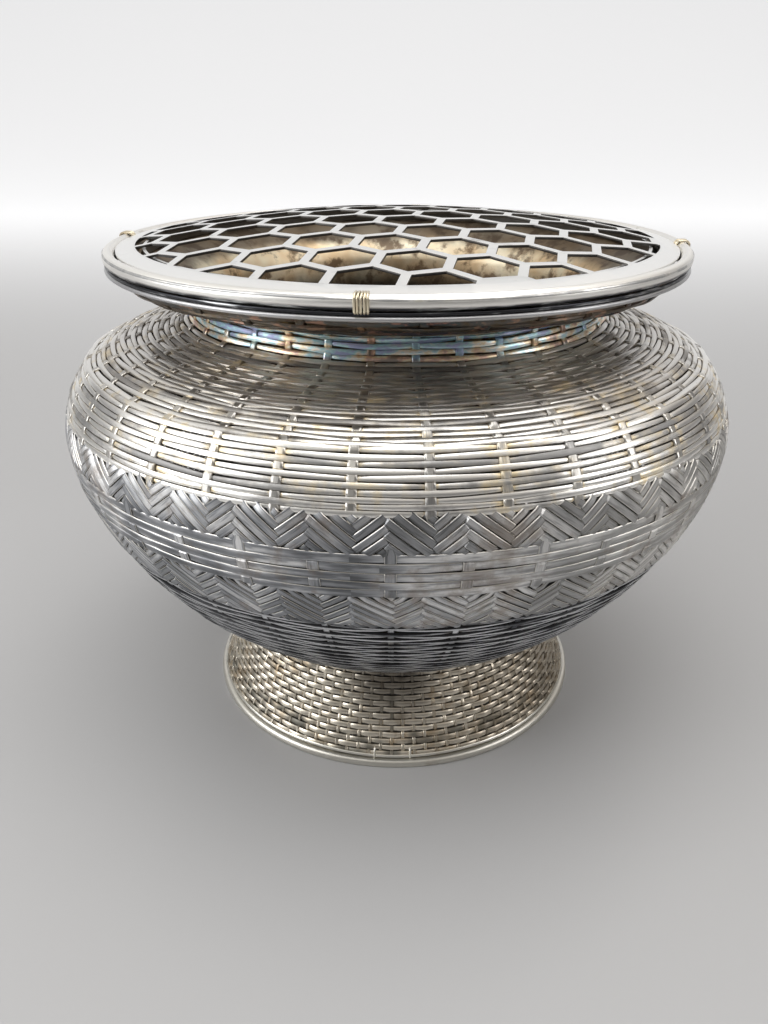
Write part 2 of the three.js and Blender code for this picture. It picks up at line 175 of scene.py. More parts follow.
class HibachiWeave(bpy.types.PropertyGroup):
    """Sizes of the woven strips and stakes."""

    row_pitch: length("Row pitch", "Distance from one woven row to the next", 2.13)
    row_height: length("Row height", "How far a half-round strip stands up", 0.95)
    row_swing: length("Row swing", "How far a strip moves in and out at the stakes", 0.45)
    row_wander: length("Row wander", "How far hand work lets a row drift", 0.28)
    stake_width: length("Stake width", "Width of an upright stake at the belly", 3.4)
    stake_thickness: length("Stake thickness", "Thickness of an upright stake", 0.6)
    flat_thickness: length("Flat strip thickness", "Thickness of the flat strips", 0.6)
    foot_pitch: length("Foot row pitch", "Distance between the rows of the foot", 2.55)


class HibachiRim(bpy.types.PropertyGroup):
    """Sizes of the mouth rim."""

    strand: length("Strand", "Thickness of one strand of the outer hoop", 1.5)
    tie_wire: length("Tie wire", "Thickness of the wire that ties the hoop", 0.85)


class HibachiLid(bpy.types.PropertyGroup):
    """Sizes of the pierced lid."""

    cell_pitch: length("Cell pitch", "Distance between two cells of the honeycomb", 23.0)
    cell_bar: length("Cell bar", "Width of the bars between the cells", 3.2)
    border: length("Border", "Width of the plain border", 7.2)
    thickness: length("Thickness", "Thickness of the sheet", 0.9)
    corner: length("Cell corner", "Rounding of a cell's corners", 0.9)


class HibachiColours(bpy.types.PropertyGroup):
    """Colours of the metals."""

    silver: colour("Silver", "Clean silver strip", (0.92, 0.905, 0.87))
    ivory: colour("Ivory patina", "Warm patina between the rows", (0.86, 0.73, 0.49))
    smudge: colour("Grey smudge", "Handled, dulled places", (0.33, 0.325, 0.32))
    gunmetal: colour("Gunmetal", "Oxidised flat strips", (0.215, 0.225, 0.24))
    # This brown is painted shade: the dark of the shoulder, neck and stake strips at their edges and
    # dips, and of the upper shoulder.
    brown: colour("Brown tarnish", "Tarnish of the neck and of deep places", (0.16, 0.115, 0.075))
    champagne: colour("Champagne", "Strips of the foot", (0.78, 0.72, 0.61))
    lid: colour("Lid silver", "Satin sheet of the lid's bars", (0.90, 0.90, 0.89))
    pot: colour("Pot", "Tarnished wall of the liner pot", (0.80, 0.60, 0.37))


class HibachiStage(bpy.types.PropertyGroup):
    """Floor and light."""

    floor: colour("Floor", "Colour of the floor and backdrop", (0.44, 0.44, 0.445))
    key: bpy.props.FloatProperty(
        name="Key lamp", description="Power of the lamp overhead", default=7.0, min=0.0, unit="POWER",
    )
    fill: bpy.props.FloatProperty(
        name="Side lamps", description="Power of each side lamp", default=2.6, min=0.0, unit="POWER",
    )


def catmull_rom(stations, samples=900):
    """Points of the same smooth curve as in the solids."""
    stations = np.array(stations, float)
    last = len(stations) - 1
    places = np.linspace(0, last, samples)
    first = np.minimum(places.astype(int), last - 1)
    t = (places - first)[:, None]
    before, start = stations[np.maximum(first - 1, 0)], stations[first]
    end, after = stations[first + 1], stations[np.minimum(first + 2, last)]
    leave, arrive = (end - before) / 2, (after - start) / 2
    cubic = 2 * start - 2 * end + leave + arrive
    square = -3 * start + 3 * end - 2 * leave - arrive
    return cubic * t**3 + square * t**2 + leave * t + start


def between(start, end, shares):
    """The point that lies at these shares of the way from start to end."""
    return [a + (b - a) * share for a, b, share in zip(start, end, shares)]


def underside_point(share):
    """A point of the skin between the waist and the belly."""
    drop = (1 - share) ** UNDERSIDE_FULLNESS
    return between(WAIST, BELLY, ((1 - drop) ** (1 / UNDERSIDE_FULLNESS), share))


def full_turn(steps=240):
    """The angles of one closed turn."""
    return np.linspace(0, 2 * math.pi, steps, endpoint=False)


def circle(turn, reach, height):
    """Points at these angles, this far from the axis and this high."""
    return np.stack([reach * np.cos(turn), reach * np.sin(turn), height], -1)


class Wall:
    """A turned surface that strands run over, with places given along its profile."""

    def __init__(self, points):
        points = np.array(points, float)
        steps = np.hypot(*np.diff(points, axis=0).T)
        self.along = np.concatenate([[0.0], np.cumsum(steps)])
        slope = np.gradient(points, self.along, axis=0)
        slope /= np.hypot(slope[:, 0], slope[:, 1])[:, None]
        self.columns = [points[:, 0], points[:, 1], slope[:, 1], -slope[:, 0]]
        self.length = self.along[-1]

    def at_height(self, height):
        """How far along the profile it reaches a height."""
        return float(np.interp(height, self.columns[1], self.along))

    def radius(self, along):
        """Radius of the surface at a place along its profile."""
        return np.interp(along, self.along, self.columns[0])

    def place(self, along, turn, out):
        """Points and normals, moved outwards along the normal."""
        radius, height, nr, nz = (np.interp(along, self.along, c) for c in self.columns)
        return circle(turn, radius + nr * out, height + nz * out), circle(turn, nr, nz)


def basket_wall():
    """The basket's skin from the waist to the mouth."""
    stations = [underside_point(share) for share in UNDERSIDE_STATIONS]
    stations.append(between(BELLY, SHOULDER, BELLY_CURVE))
    stations.append(SHOULDER)
    stations += [between(SHOULDER, THROAT, shares) for shares in SHOULDER_CURVE]
    stations.append(THROAT)
    stations += [between(THROAT, MOUTH, shares) for shares in FLARE_CURVE]
    stations.append(MOUTH)
    return Wall(catmull_rom(stations))


def foot_wall():
    """The foot's skin from its hoop up to the collar."""
    low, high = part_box("foot_weave")
    heights = np.linspace(low.z, high.z, 60) / MM
    waist = WAIST[0]
    share = 1 - heights / WAIST[1]
    return Wall(np.column_stack([waist + (FOOT_RADIUS - waist) * share**FOOT_FLARE, heights]))


def half_round(width, height, fullness=0.4):
    """Section of a half-round strip. The lower its fullness is, the flatter it is on top."""
    return np.array([
        (-math.cos(a) * width / 2, math.sin(a) ** fullness * height)
        for a in np.linspace(0, math.pi, 6)
    ])


def flat_strip(width, thickness):
    """Section of a flat strip with eased edges."""
    half, ease = width / 2, min(0.26, width / 9)
    crown, eased, edge = half * 0.4, thickness * 0.95, thickness * 0.5
    return np.array([
        (-half, 0), (-half, edge), (-half + ease, eased), (-crown, thickness),
        (crown, thickness), (half - ease, eased), (half, edge), (half, 0),
    ])


def rolled(section, angle):
    """The section, rolled a little about the run of its strip."""
    cos, sin = math.cos(angle), math.sin(angle)
    return section @ np.array([[cos, sin], [-sin, cos]])


def round_wire(radius, sides=8):
    """Section of a round wire."""
    angles = np.arange(sides) * 2 * math.pi / sides
    return np.column_stack([-np.cos(angles), np.sin(angles)]) * radius


def unit(vectors):
    """The vectors, each made one long."""
    return vectors / np.maximum(np.linalg.norm(vectors, axis=-1, keepdims=True), 1e-9)


class Strands:
    """Gathers strips and wires, and makes one mesh of them."""

    def __init__(self, seed=1):
        self.random = np.random.default_rng(seed)
        self.spots, self.faces, self.maps, self.tones, self.dips = [], [], [], [], []
        self.count = 0

    def add(self, spots, normals, section, closed=False, dip=0.0, scale=1.0, tone=None):
        """Sweeps a section along a path. Its across axis lies in the surface, its other axis out."""
        number, around = len(spots), len(section)
        ahead, behind = np.roll(spots, -1, 0), np.roll(spots, 1, 0)
        if not closed:
            ahead[-1], behind[0] = spots[-1], spots[0]
        run = unit(ahead - behind)
        side = unit(np.cross(normals, run))
        out = np.cross(run, side)
        scale = np.broadcast_to(np.asarray(scale, float), (number,))[:, None, None]
        rings = spots[:, None] + out[:, None] * section[None, :, 1:]
        rings = rings + side[:, None] * section[None, :, :1] * scale
        steps = np.linalg.norm(ahead - spots, axis=1) * 0.1
        travel = np.concatenate([[0.0], np.cumsum(steps)])
        shares = np.linspace(0, 1, around)
        j, i = np.meshgrid(np.arange(number if closed else number - 1), np.arange(around), indexing="ij")
        j, i = j.ravel(), i.ravel()
        j2, i2 = (j + 1) % number, (i + 1) % around
        quads = np.stack([j * around + i, j2 * around + i, j2 * around + i2, j * around + i2], -1)
        u = np.stack([travel[j], travel[j + 1], travel[j + 1], travel[j]], -1)
        v = np.stack([shares[i], shares[i], shares[i2], shares[i2]], -1)
        maps = np.stack([u, v], -1)
        if not closed:
            k = np.arange(around // 2 - 1)
            cap = np.stack([k, k + 1, around - 2 - k, around - 1 - k], -1)
            end = cap[:, ::-1] + (number - 1) * around
            quads = np.concatenate([quads, cap, end])
            maps = np.concatenate([maps, np.full((2 * len(cap), 4, 2), 0.5)])
        if tone is None:
            tone = self.random.random()
        self.spots.append(rings.reshape(-1, 3))
        self.faces.append(quads + self.count)
        self.maps.append(maps)
        self.tones.append(np.repeat(np.broadcast_to(np.asarray(tone, float), (number,)), around))
        self.dips.append(np.repeat(np.broadcast_to(np.asarray(dip, float), (number,)), around))
        self.count += number * around

    def build(self, name, smooth_angle=50):
        """One object of all the strands, with its strand map, tones and depths."""
        spots, faces = np.concatenate(self.spots) * MM, np.concatenate(self.faces)
        mesh = bpy.data.meshes.new(name)
        mesh.vertices.add(len(spots))
        mesh.vertices.foreach_set("co", spots.ravel())
        mesh.loops.add(faces.size)
        mesh.loops.foreach_set("vertex_index", faces.ravel().astype(np.int32))
        mesh.polygons.add(len(faces))
        mesh.polygons.foreach_set("loop_start", np.arange(0, faces.size, 4, dtype=np.int32))
        mesh.update(calc_edges=True)
        strand_map = mesh.uv_layers.new(name="strand")
        strand_map.data.foreach_set("uv", np.concatenate(self.maps).ravel())
        for title, values in (("tone", self.tones), ("dip", self.dips)):
            layer = mesh.attributes.new(title, "FLOAT", "POINT")
            layer.data.foreach_set("value", np.concatenate(values).astype(np.float32))
        mesh.polygons.foreach_set("use_smooth", np.ones(len(faces), bool))
        mesh.set_sharp_from_angle(angle=math.radians(smooth_angle))
        piece = bpy.data.objects.new(name, mesh)
        bpy.context.scene.collection.objects.link(piece)
        return piece


class Value:
    """A number on its way through a shader, so that shader maths reads as arithmetic."""

    def __init__(self, finish, socket):
        self.finish, self.socket = finish, socket

    def __add__(self, other):
        return self.finish.math("ADD", self, other)

    def __sub__(self, other):
        return self.finish.math("SUBTRACT", self, other)

    def __rsub__(self, other):
        return self.finish.math("SUBTRACT", other, self)

    def __mul__(self, other):
        return self.finish.math("MULTIPLY", self, other)

    __radd__ = __add__
    __rmul__ = __mul__


class Tree:
    """A node tree, with one method for each kind of step."""

    def __init__(self, owner):
        owner.use_nodes = True
        self.tree = owner.node_tree
        self.tree.nodes.clear()

    def node(self, kind, settings=None, values=None):
        """Adds a node, with its settings first and then its sockets."""
        made = self.tree.nodes.new(kind)
        for key, setting in (settings or {}).items():
            if key == "stops":
                self.set_stops(made.color_ramp, setting)
            else:
                setattr(made, key, setting)
        for key, value in (values or {}).items():
            self.fill(made.inputs[key], value)
        return made

    def fill(self, socket, value):
        """Links or sets a socket."""
        if isinstance(value, Value):
            self.tree.links.new(value.socket, socket)
        elif socket.type == "RGBA":
            socket.default_value = (*tuple(value)[:3], 1.0)
        else:
            socket.default_value = value

    def set_stops(self, ramp, stops):
        """Gives a colour ramp its stops."""
        while len(ramp.elements) < len(stops):
            ramp.elements.new(1.0)
        for element, (position, value) in zip(ramp.elements, stops):
            element.position = position
            element.color = (*tuple(value)[:3], 1.0)

    def out(self, node, name=0):
        """An output of a node as a value."""
        return Value(self, node.outputs[name])

    def math(self, operation, first, second=0.0):
        """One step of arithmetic."""
        return self.out(self.node("ShaderNodeMath", {"operation": operation}, {0: first, 1: second}))

    def smooth(self, value, low, high):
        """0 below low, 1 above high, and smooth between them."""
        return self.out(self.node(
            "ShaderNodeMapRange", {"interpolation_type": "SMOOTHSTEP"},
            {"Value": value, "From Min": low, "From Max": high},
        ))

    def ramp(self, value, stops):
        """A colour from a ramp."""
        return self.out(self.node("ShaderNodeValToRGB", {"stops": stops}, {"Fac": value}))

    def mix(self, mask, low, high, blend="MIX"):
        """A colour that goes from low to high with the mask."""
        return self.out(self.node(
            "ShaderNodeMix", {"data_type": "RGBA", "blend_type": blend, "clamp_factor": True},
            {0: mask, 6: low, 7: high},
        ), 2)

    def part_of(self, vector, axis):
        """One axis of a vector."""
        return self.out(self.node("ShaderNodeSeparateXYZ", None, {0: vector}), axis)


class Finish(Tree):
    """A material built from nodes."""

    def __init__(self, name):
        self.material = bpy.data.materials.new(name)
        super().__init__(self.material)
        self.surface = self.node("ShaderNodeBsdfPrincipled")
        shader = Value(self, self.surface.outputs["BSDF"])
        self.node("ShaderNodeOutputMaterial", values={"Surface": shader})
        self.place = self.out(self.node("ShaderNodeTexCoord"), "Object")

    def noise(self, size, detail=3.0, vector=None, stretch=(1, 1, 1), shift=0.0):
        """Noise with features of this size in millimetres."""
        scaled = self.out(self.node(
            "ShaderNodeMapping", None,
            {"Vector": vector or self.place, "Location": (shift, shift, shift), "Scale": stretch},
        ))
        return self.out(self.node(
            "ShaderNodeTexNoise", None,
            {"Vector": scaled, "Scale": 1 / (size * MM), "Detail": detail, "Roughness": 0.6},
        ))

    def attribute(self, name):
        """A number kept on the piece's own mesh."""
        return self.out(self.node("ShaderNodeAttribute", {"attribute_name": name}), "Fac")

    def strand_map(self):
        """The piece's strand map: along in x, across in y."""
        return self.out(self.node("ShaderNodeUVMap", {"uv_map": "strand"}))

    def close(self, colour, roughness, metallic, height, strength=0.25, distance=0.25):
        """Feeds the surface, and returns the material."""
        bump = self.out(self.node("ShaderNodeBump", None, {
            "Strength": strength, "Distance": distance * MM, "Height": height,
        }))
        links = {"Base Color": colour, "Roughness": roughness, "Metallic": metallic, "Normal": bump}
        for key, value in links.items():
            self.fill(self.surface.inputs[key], value)
        return self.material


def strip_finish(name, light, warm, smudge, dark, warmth=0.5, wear=0.5, zones=None, unshaded=0.64):
    """Silver strip: bright crowns, patina in the dips, smudges, and painted shade that darkens the edges
    and the dips beyond the unshaded part.
    """
    f = Finish(name)
    tone, dip, strand = f.attribute("tone"), f.attribute("dip"), f.strand_map()
    edge = f.math("ABSOLUTE", f.part_of(strand, "Y") - 0.5) * 2
    broad, spots, fine = f.noise(34, 2), f.noise(6.5, 4, shift=3.0), f.noise(0.9, 2)
    streak = f.noise(90, 3, vector=strand, stretch=(0.09, 2.2, 1))
    patches = f.noise(16, 4, shift=9.0)
    patina = f.smooth(broad * 0.35 + spots * 0.6 + dip * 0.3 + tone * 0.2, 0.74 - warmth * 0.3, 0.78)
    dull = f.smooth(patches * 0.6 + streak * 0.25 + tone * 0.34, 0.74 - wear * 0.24, 0.80)
    # Painted shade: the strip grows dark towards its edges and where it dips under a stake, where shade
    # falls between the rows.
    edge_shade = f.smooth(edge * 0.8 + dip * 0.34 + fine * 0.2, unshaded, unshaded + 0.32)
    look = f.mix(patina, light, warm)
    look = f.mix(dull, look, smudge)
    if zones:
        look = zones(f, look)
    look = f.mix(edge_shade * 0.95, look, dark)
    roughness = 0.25 + streak * 0.12 + patina * 0.12 + dull * 0.14 + edge_shade * 0.18
    metallic = 1.0 - edge_shade * 0.35 - patina * 0.12
    return f.close(look, roughness, metallic, streak * 0.6 + fine * 0.3, 0.3, 0.12)


def shoulder_shade_zones(colours):
    """Painted shade and reflection: the upper shoulder under the flare is tinted brownish grey, and the
    rows below it are left as they are.
    """
    def zones(f, look):
        height = f.part_of(f.place, "Z") + f.noise(30, 2, shift=7.0) * 0.010
        # Painted shade, and a painted reflection of the dark flare above
        return f.mix(f.smooth(height, *UPPER_SHOULDER) * 0.36, look, tuple(colours.brown))
    return zones


def throat_zones(f, look):
    """Heat and tarnish colours: copper, gold, pink and blue in patches on silver. Above them the
    underside of the flare is painted dark as shade, with copper streaks.
    """
    patches = f.noise(7, 3, stretch=(1, 1, 2.2), shift=11.0)
    tints = f.ramp(patches * 0.75 + f.attribute("tone") * 0.25, [
        (0.32, (0.16, 0.09, 0.05)), (0.40, (0.74, 0.40, 0.28)), (0.45, (0.88, 0.70, 0.36)),
        (0.51, (0.90, 0.88, 0.83)), (0.57, (0.42, 0.78, 0.84)), (0.66, (0.40, 0.46, 0.78)),
    ])
    look = f.mix(0.72, look, tints)
    # Painted shade: the flare's underside turns near black, streaked with copper.
    flare = f.smooth(f.part_of(f.place, "Z"), *FLARE)
    copper = f.mix(f.smooth(patches, 0.52, 0.64), (0.035, 0.026, 0.02), (0.26, 0.13, 0.07))
    return f.mix(flare * 0.92, look, copper)


def stake_zones(colours):
    """The stakes take the colours of the rows that they cross, their painted shade included."""
    def zones(f, look):
        look = shoulder_shade_zones(colours)(f, look)
        high = f.smooth(f.part_of(f.place, "Z"), *THROAT_STAKES)
        return f.mix(high, look, throat_zones(f, look))
    return zones


def hoop_shade_zones(middle):
    """The upper half of the mouth's hoop is bright, and the lower half is painted dark with soft streaks:
    painted shade and a painted reflection of the dark horizon.
    """
    def zones(f, look):
        streaks = f.noise(16, 3, stretch=(1, 1, 9), shift=5.0)
        # Painted reflection: dark with lighter streaks, for the lower half.
        dark = f.mix(f.smooth(streaks, 0.50, 0.66), (0.045, 0.046, 0.052), (0.40, 0.41, 0.42))
        height = f.part_of(f.place, "Z") + streaks * 0.0006
        return f.mix(f.smooth(height, middle - 0.0012, middle - 0.0002), dark, look)
    return zones


def foot_zones(f, look):
    """The foot has a painted shadow that makes it darker in front under the belly, and it is browner at
    its right side.
    """
    across, height = f.part_of(f.place, "X"), f.part_of(f.place, "Z")
    clouds = f.noise(14, 3, shift=8.0)
    # Painted shadow of the belly on the middle of the foot
    middle = 1 - f.smooth(f.math("ABSOLUTE", across + (clouds - 0.5) * 0.02), 0.006, 0.024)
    shade = middle * f.smooth(height, *FOOT_SHADE)
    look = f.mix(shade * 0.8, look, (0.07, 0.06, 0.05))
    browner = f.smooth(across + (clouds - 0.5) * 0.06, 0.0, 0.05)
    return f.mix(browner * 0.45, look, (0.24, 0.19, 0.13))


def flat_finish(name, base, brown, bright, dark):
    """Oxidised flat strip with brown tints and bright edges that are partly wear and partly painted
    highlight. Painted shade darkens its edges and where it is crossed, and a painted reflection makes it
    darker in the middle and lighter and warm at the right.
    """
    f = Finish(name)
    tone, dip, strand = f.attribute("tone"), f.attribute("dip"), f.strand_map()
    edge = f.math("ABSOLUTE", f.part_of(strand, "Y") - 0.5) * 2
    broad, spots, fine = f.noise(40, 2), f.noise(7, 4, shift=5.0), f.noise(0.8, 2)
    brush = f.noise(90, 3, vector=strand, stretch=(0.1, 3.5, 1))
    streak = f.smooth(f.noise(90, 3, vector=strand, stretch=(0.05, 0.35, 1), shift=3.0), 0.36, 0.64)
    # Bright edge lines: partly wear, partly painted highlight along the eased edges
    rubbed_glint = f.smooth(edge, 0.56, 0.62) * (1 - f.smooth(edge, 0.76, 0.84))
    across = f.part_of(f.place, "X")
    # Painted reflection: lighter and warm towards the right, darker in the middle
    side = f.smooth(across, -0.03, 0.11)
    middle = 1 - f.smooth(f.math("ABSOLUTE", across), 0.015, 0.095)
    cloudy = f.smooth(broad, 0.36, 0.64)
    tones = f.ramp(tone * 0.26 + cloudy * 0.36 + streak * 0.42 + brush * 0.4 - middle * 0.2 - 0.04, [
        (0.0, tuple(c * 0.25 for c in base)), (0.35, tuple(c * 0.75 for c in base)),
        (0.7, (0.36, 0.37, 0.39)), (1.0, (0.78, 0.78, 0.78)),
    ])
    look = f.mix(side * 0.4, tones, (0.52, 0.49, 0.43))
    look = f.mix(f.smooth(spots * 0.6 + broad * 0.5, 0.58, 0.72) * 0.5, look, brown)
    look = f.mix(rubbed_glint * (0.35 + spots * 0.8), look, bright)
    # Painted shade: near black at the strip's edges, in the gaps, and where another strip lies over it
    look = f.mix(f.smooth(edge, 0.84, 0.97) * 0.9, look, dark)
    look = f.mix(f.smooth(dip + fine * 0.2, 0.45, 0.95) * 0.9, look, dark)
    roughness = 0.30 + brush * 0.16 + spots * 0.1 - rubbed_glint * 0.08
    return f.close(look, roughness, 1.0 - dip * 0.3, brush * 0.7 + fine * 0.3, 0.3, 0.12)


def sheet_finish(name, base, shade, grain=1.4, roughness=0.3, blotch=0.5, zones=None):
    """Sheet or spun metal with soft clouds, fine grain and small pits."""
    f = Finish(name)
    clouds, spots = f.noise(38, 3), f.noise(6, 4, shift=2.0)
    grain_noise, scratch = f.noise(grain, 3), f.noise(30, 3, stretch=(0.4, 9, 1), shift=4.0)
    mask = f.smooth(clouds * 0.55 + spots * 0.45, 0.60 - blotch * 0.16, 0.72)
    look = f.mix(mask * 0.7, base, shade)
    look = f.mix(f.smooth(spots, 0.62, 0.74) * 0.35, look, shade)
    if zones:
        look = zones(f, look)
    rough = roughness + clouds * 0.08 + grain_noise * 0.06 + scratch * 0.08
    return f.close(look, rough, 1.0 - mask * 0.15, grain_noise * 0.5 + scratch * 0.5, 0.2, 0.1)


def lid_zones(inner):
    """The plain border of the lid is brighter than the bars inside it, and the upright cut edges of the
    cells are painted dark as shade.
    """
    def zones(f, look):
        x, y = f.part_of(f.place, "X"), f.part_of(f.place, "Y")
        border = f.smooth(x * x + y * y, inner**2, (inner + 0.001) ** 2)
        look = f.mix(border * 0.8, look, (0.96, 0.96, 0.95))
        # Painted shade on the upright cut walls of the cells
        upright = f.part_of(f.out(f.node("ShaderNodeTexCoord"), "Normal"), "Z")
        cut = (1 - f.smooth(upright, 0.35, 0.75)) * (1 - border)
        return f.mix(cut * 0.9, look, (0.045, 0.04, 0.035))
    return zones


def pot_finish(colours):
    """The liner pot: tan and gold with dark blotches, and painted shade that makes it black below and
    dark under the lip.
    """
    f = Finish("pot_tarnish")
    height = f.part_of(f.place, "Z")
    spots, clouds, fine = f.noise(11, 5), f.noise(30, 3, shift=6.0), f.noise(1.6, 3)
    look = f.mix(f.smooth(clouds, 0.4, 0.62), tuple(colours.pot), (0.95, 0.86, 0.66))
    look = f.mix(f.smooth(spots, 0.50, 0.62) * 0.85, look, (0.16, 0.10, 0.06))
    # Painted shade: a dark band under the lip
    band = f.smooth(height + spots * 0.006, *POT_LIP)
    look = f.mix(band * 0.85, look, (0.085, 0.06, 0.04))
    # Painted shade: black deep down in the pot
    deep = 1 - f.smooth(height + spots * 0.012, *POT_DEPTH)
    look = f.mix(deep * 0.97, look, (0.012, 0.010, 0.008))
    return f.close(look, 0.38 + spots * 0.2, 0.9 - band * 0.3, fine * 0.6 + spots * 0.4, 0.3, 0.25)


def settle(piece, body, slot, finish, *nodes):
    """Gives a piece its material, its body and the solids that it stands for."""
    piece.data.materials.clear()
    piece.data.materials.append(finish)
    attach(piece, body)
    if nodes:
        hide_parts(*nodes)
    return piece


def deselect():
    """Nothing stays selected from the step before."""
    if bpy.context.object and bpy.context.object.mode != "OBJECT":
        bpy.ops.object.mode_set(mode="OBJECT")
    bpy.ops.object.select_all(action="DESELECT")


def select_only(*pieces):
    """Selects these pieces alone, with the first one active."""
    deselect()
    for piece in pieces:
        piece.select_set(True)
    bpy.context.view_layer.objects.active = pieces[0]


def spun(name, profile, steps=180, smooth_angle=40):
    """Turns a closed profile of radius and height about the upright axis."""
    deselect()
    bpy.ops.mesh.primitive_plane_add(size=MM)
    piece = bpy.context.object
    piece.name = piece.data.name = name
    bpy.ops.object.mode_set(mode="EDIT")
    bpy.ops.mesh.select_all(action="SELECT")
    bpy.ops.mesh.merge(type="CENTER")
    bpy.ops.transform.translate(value=(profile[0][0] * MM, 0, profile[0][1] * MM))
    ring = list(profile) + [profile[0]] if profile[0][0] > 0 else list(profile)
    for (radius, height), (next_radius, next_height) in zip(ring, ring[1:]):
        step = ((next_radius - radius) * MM, 0, (next_height - height) * MM)
        bpy.ops.mesh.extrude_vertices_move(TRANSFORM_OT_translate={"value": step})
    bpy.ops.mesh.select_all(action="SELECT")
    bpy.ops.mesh.spin(steps=steps, angle=2 * math.pi, center=(0, 0, 0), axis=(0, 0, 1))
    bpy.ops.mesh.select_all(action="SELECT")
    bpy.ops.mesh.remove_doubles(threshold=0.00001)
    bpy.ops.mesh.normals_make_consistent(inside=False)
    bpy.ops.object.mode_set(mode="OBJECT")
    bpy.ops.object.shade_smooth_by_angle(angle=math.radians(smooth_angle))
    return piece


def oval(radius, height, width, depth, points=16):
    """A rounded closed profile."""
    angles = np.arange(points) * 2 * math.pi / points
    return [
        (radius + math.cos(a) * width / 2, height + math.sin(a) * depth / 2) for a in angles
    ]


def hoop_profile(node, width, points=16):
    """A rounded profile as tall as a solid, at its outer radius."""
    low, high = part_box(node)
    depth, outer = (high.z - low.z) / MM, high.x / MM
    return oval(outer - width / 2, (high.z + low.z) / 2 / MM, width, depth, points)


class Weave:
    """Rows woven over and under upright stakes on a wall."""

    def __init__(self, wall, start, end, pitch, stakes, first_stake, wander, drift=0.0):
        self.wall, self.start = wall, start
        self.rows = max(1, round((end - start) / pitch))
        self.pitch = (end - start) / self.rows
        self.stakes, self.first, self.wander, self.drift = stakes, first_stake, wander, drift
        random = np.random.default_rng(stakes * 100 + self.rows)
        self.shifts, self.lifts, self.tones = random.normal(0, 1, (3, self.rows, stakes))

    def by_hand(self, table, row, turn):
        """A small difference from stake to stake, as in hand work."""
        place = (np.asarray(turn) - math.radians(self.first)) * self.stakes / (2 * math.pi)
        return np.interp(place, np.arange(self.stakes), table[row], period=self.stakes)

    def turn(self, place):
        """The angle of a place counted in stakes."""
        return math.radians(self.first) + np.asarray(place, float) * 2 * math.pi / self.stakes

    def along(self, row, turn):
        """Where a row lies along the wall, with the drift of hand work."""
        ease = min(1.0, (row + 0.5) / 2.5, (self.rows - row - 0.5) / 2.5)
        waves = np.sin(2 * turn + 0.21 * row) + 0.7 * np.sin(5 * turn + 1.3 + 0.34 * row)
        waves = waves + 0.45 * np.sin(11 * turn + 2.1 - 0.5 * row)
        waver = self.wander * (0.4 + 0.5 * row / self.rows) * self.by_hand(self.shifts, row, turn)
        tilt = self.drift * np.sin(turn) + waver
        return self.start + (row + 0.5) * self.pitch + ease * (self.wander * waves * 0.5 + tilt)

    def row(self, strands, row, section, swing, level, offsets, narrow=0.22):
        """One strip. It dips under every second stake, where it narrows, and lies over the others."""
        places, dips = [], []
        for stake in range(self.stakes):
            under = (stake + row) % 2 == 0
            for offset in offsets if under else OVER_OFFSETS:
                places.append(stake + offset)
                dips.append(math.exp(-((offset / DIP_REACH) ** 2)) if under else 0.0)
        places, dips = np.array(places), np.array(dips)
        turn = self.turn(places)
        jitter = 0.05 * np.sin(17 * turn + row * 1.7) + 0.09 * self.by_hand(self.lifts, row, turn)
        wave = -np.cos(math.pi * (places + row))
        out = level + swing * (0.6 * wave + 0.4 * (1 - 2 * dips)) + jitter
        spots, normals = self.wall.place(self.along(row, turn), turn, out)
        scale = 1 + 0.08 * np.sin(7 * turn + row * 2.3) - narrow * ((1 - wave) / 2) ** 2
        tone = 0.5 + 0.22 * self.by_hand(self.tones, row, turn) + 0.16 * self.lifts[row, 0]
        strands.add(spots, normals, section, closed=True, dip=dips, scale=scale, tone=tone)

    def stake(self, strands, stake, width, thickness, high, low, level, ends=(0.0, 0.0)):
        """One upright: over the rows that dip here, and under the others."""
        turn = float(self.turn(stake))
        along, out, dips = [], [], []
        for row in range(self.rows):
            over = (stake + row) % 2 == 0
            middle = float(self.along(row, turn))
            for offset in (-0.36, 0.36):
                along.append(middle + offset * self.pitch)
                out.append(level + (high if over else low))
                dips.append(0.0 if over else 1.0)
        if ends[0]:
            along, out, dips = [along[0] - ends[0]] + along, [level + high] + out, [0.0] + dips
        if ends[1]:
            along, out, dips = along + [along[-1] + ends[1]], out + [level + high], dips + [0.0]
        along = np.array(along)
        turns = np.full(len(along), turn)
        spots, normals = self.wall.place(along, turns, np.array(out))
        scale = np.sqrt(self.wall.radius(along) / BELLY[0])
        if ends[0]:
            scale[0] *= 0.5
        if ends[1]:
            scale[-1] *= 0.5
        strands.add(spots, normals, flat_strip(width, thickness), dip=np.array(dips) * 0.9, scale=scale)


def strip_places(centre, span, period, pitch):
    """Where a strip gets its points: evenly, and on both sides of each change of legs."""
    places = list(np.linspace(centre - span, centre + span, 9))
    for number, column in enumerate(np.arange(-2, 2 * STAKES + 4) * period / 2):
        shift = -pitch / 4 if number % 2 == 0 else pitch / 4
        for near in (-0.32, 0.32):
            place = column + shift + near
            if centre - span + 0.2 < place < centre + span - 0.2:
                places.append(place)
    return np.array(sorted(places))


def rising_legs(x, period, pitch):
    """1 on the legs of one family, 0 on those of the other, and steep between them."""
    phase = (x + pitch / 4) % period
    back_leg = period / 2 + pitch / 2
    short, long = 0.3, 0.6
    rising = np.clip(phase / short + 0.5, 0, 1) * np.clip((back_leg - phase) / long + 0.5, 0, 1)
    return np.maximum(rising, np.clip((phase - period) / long + 0.5, 0, 1))


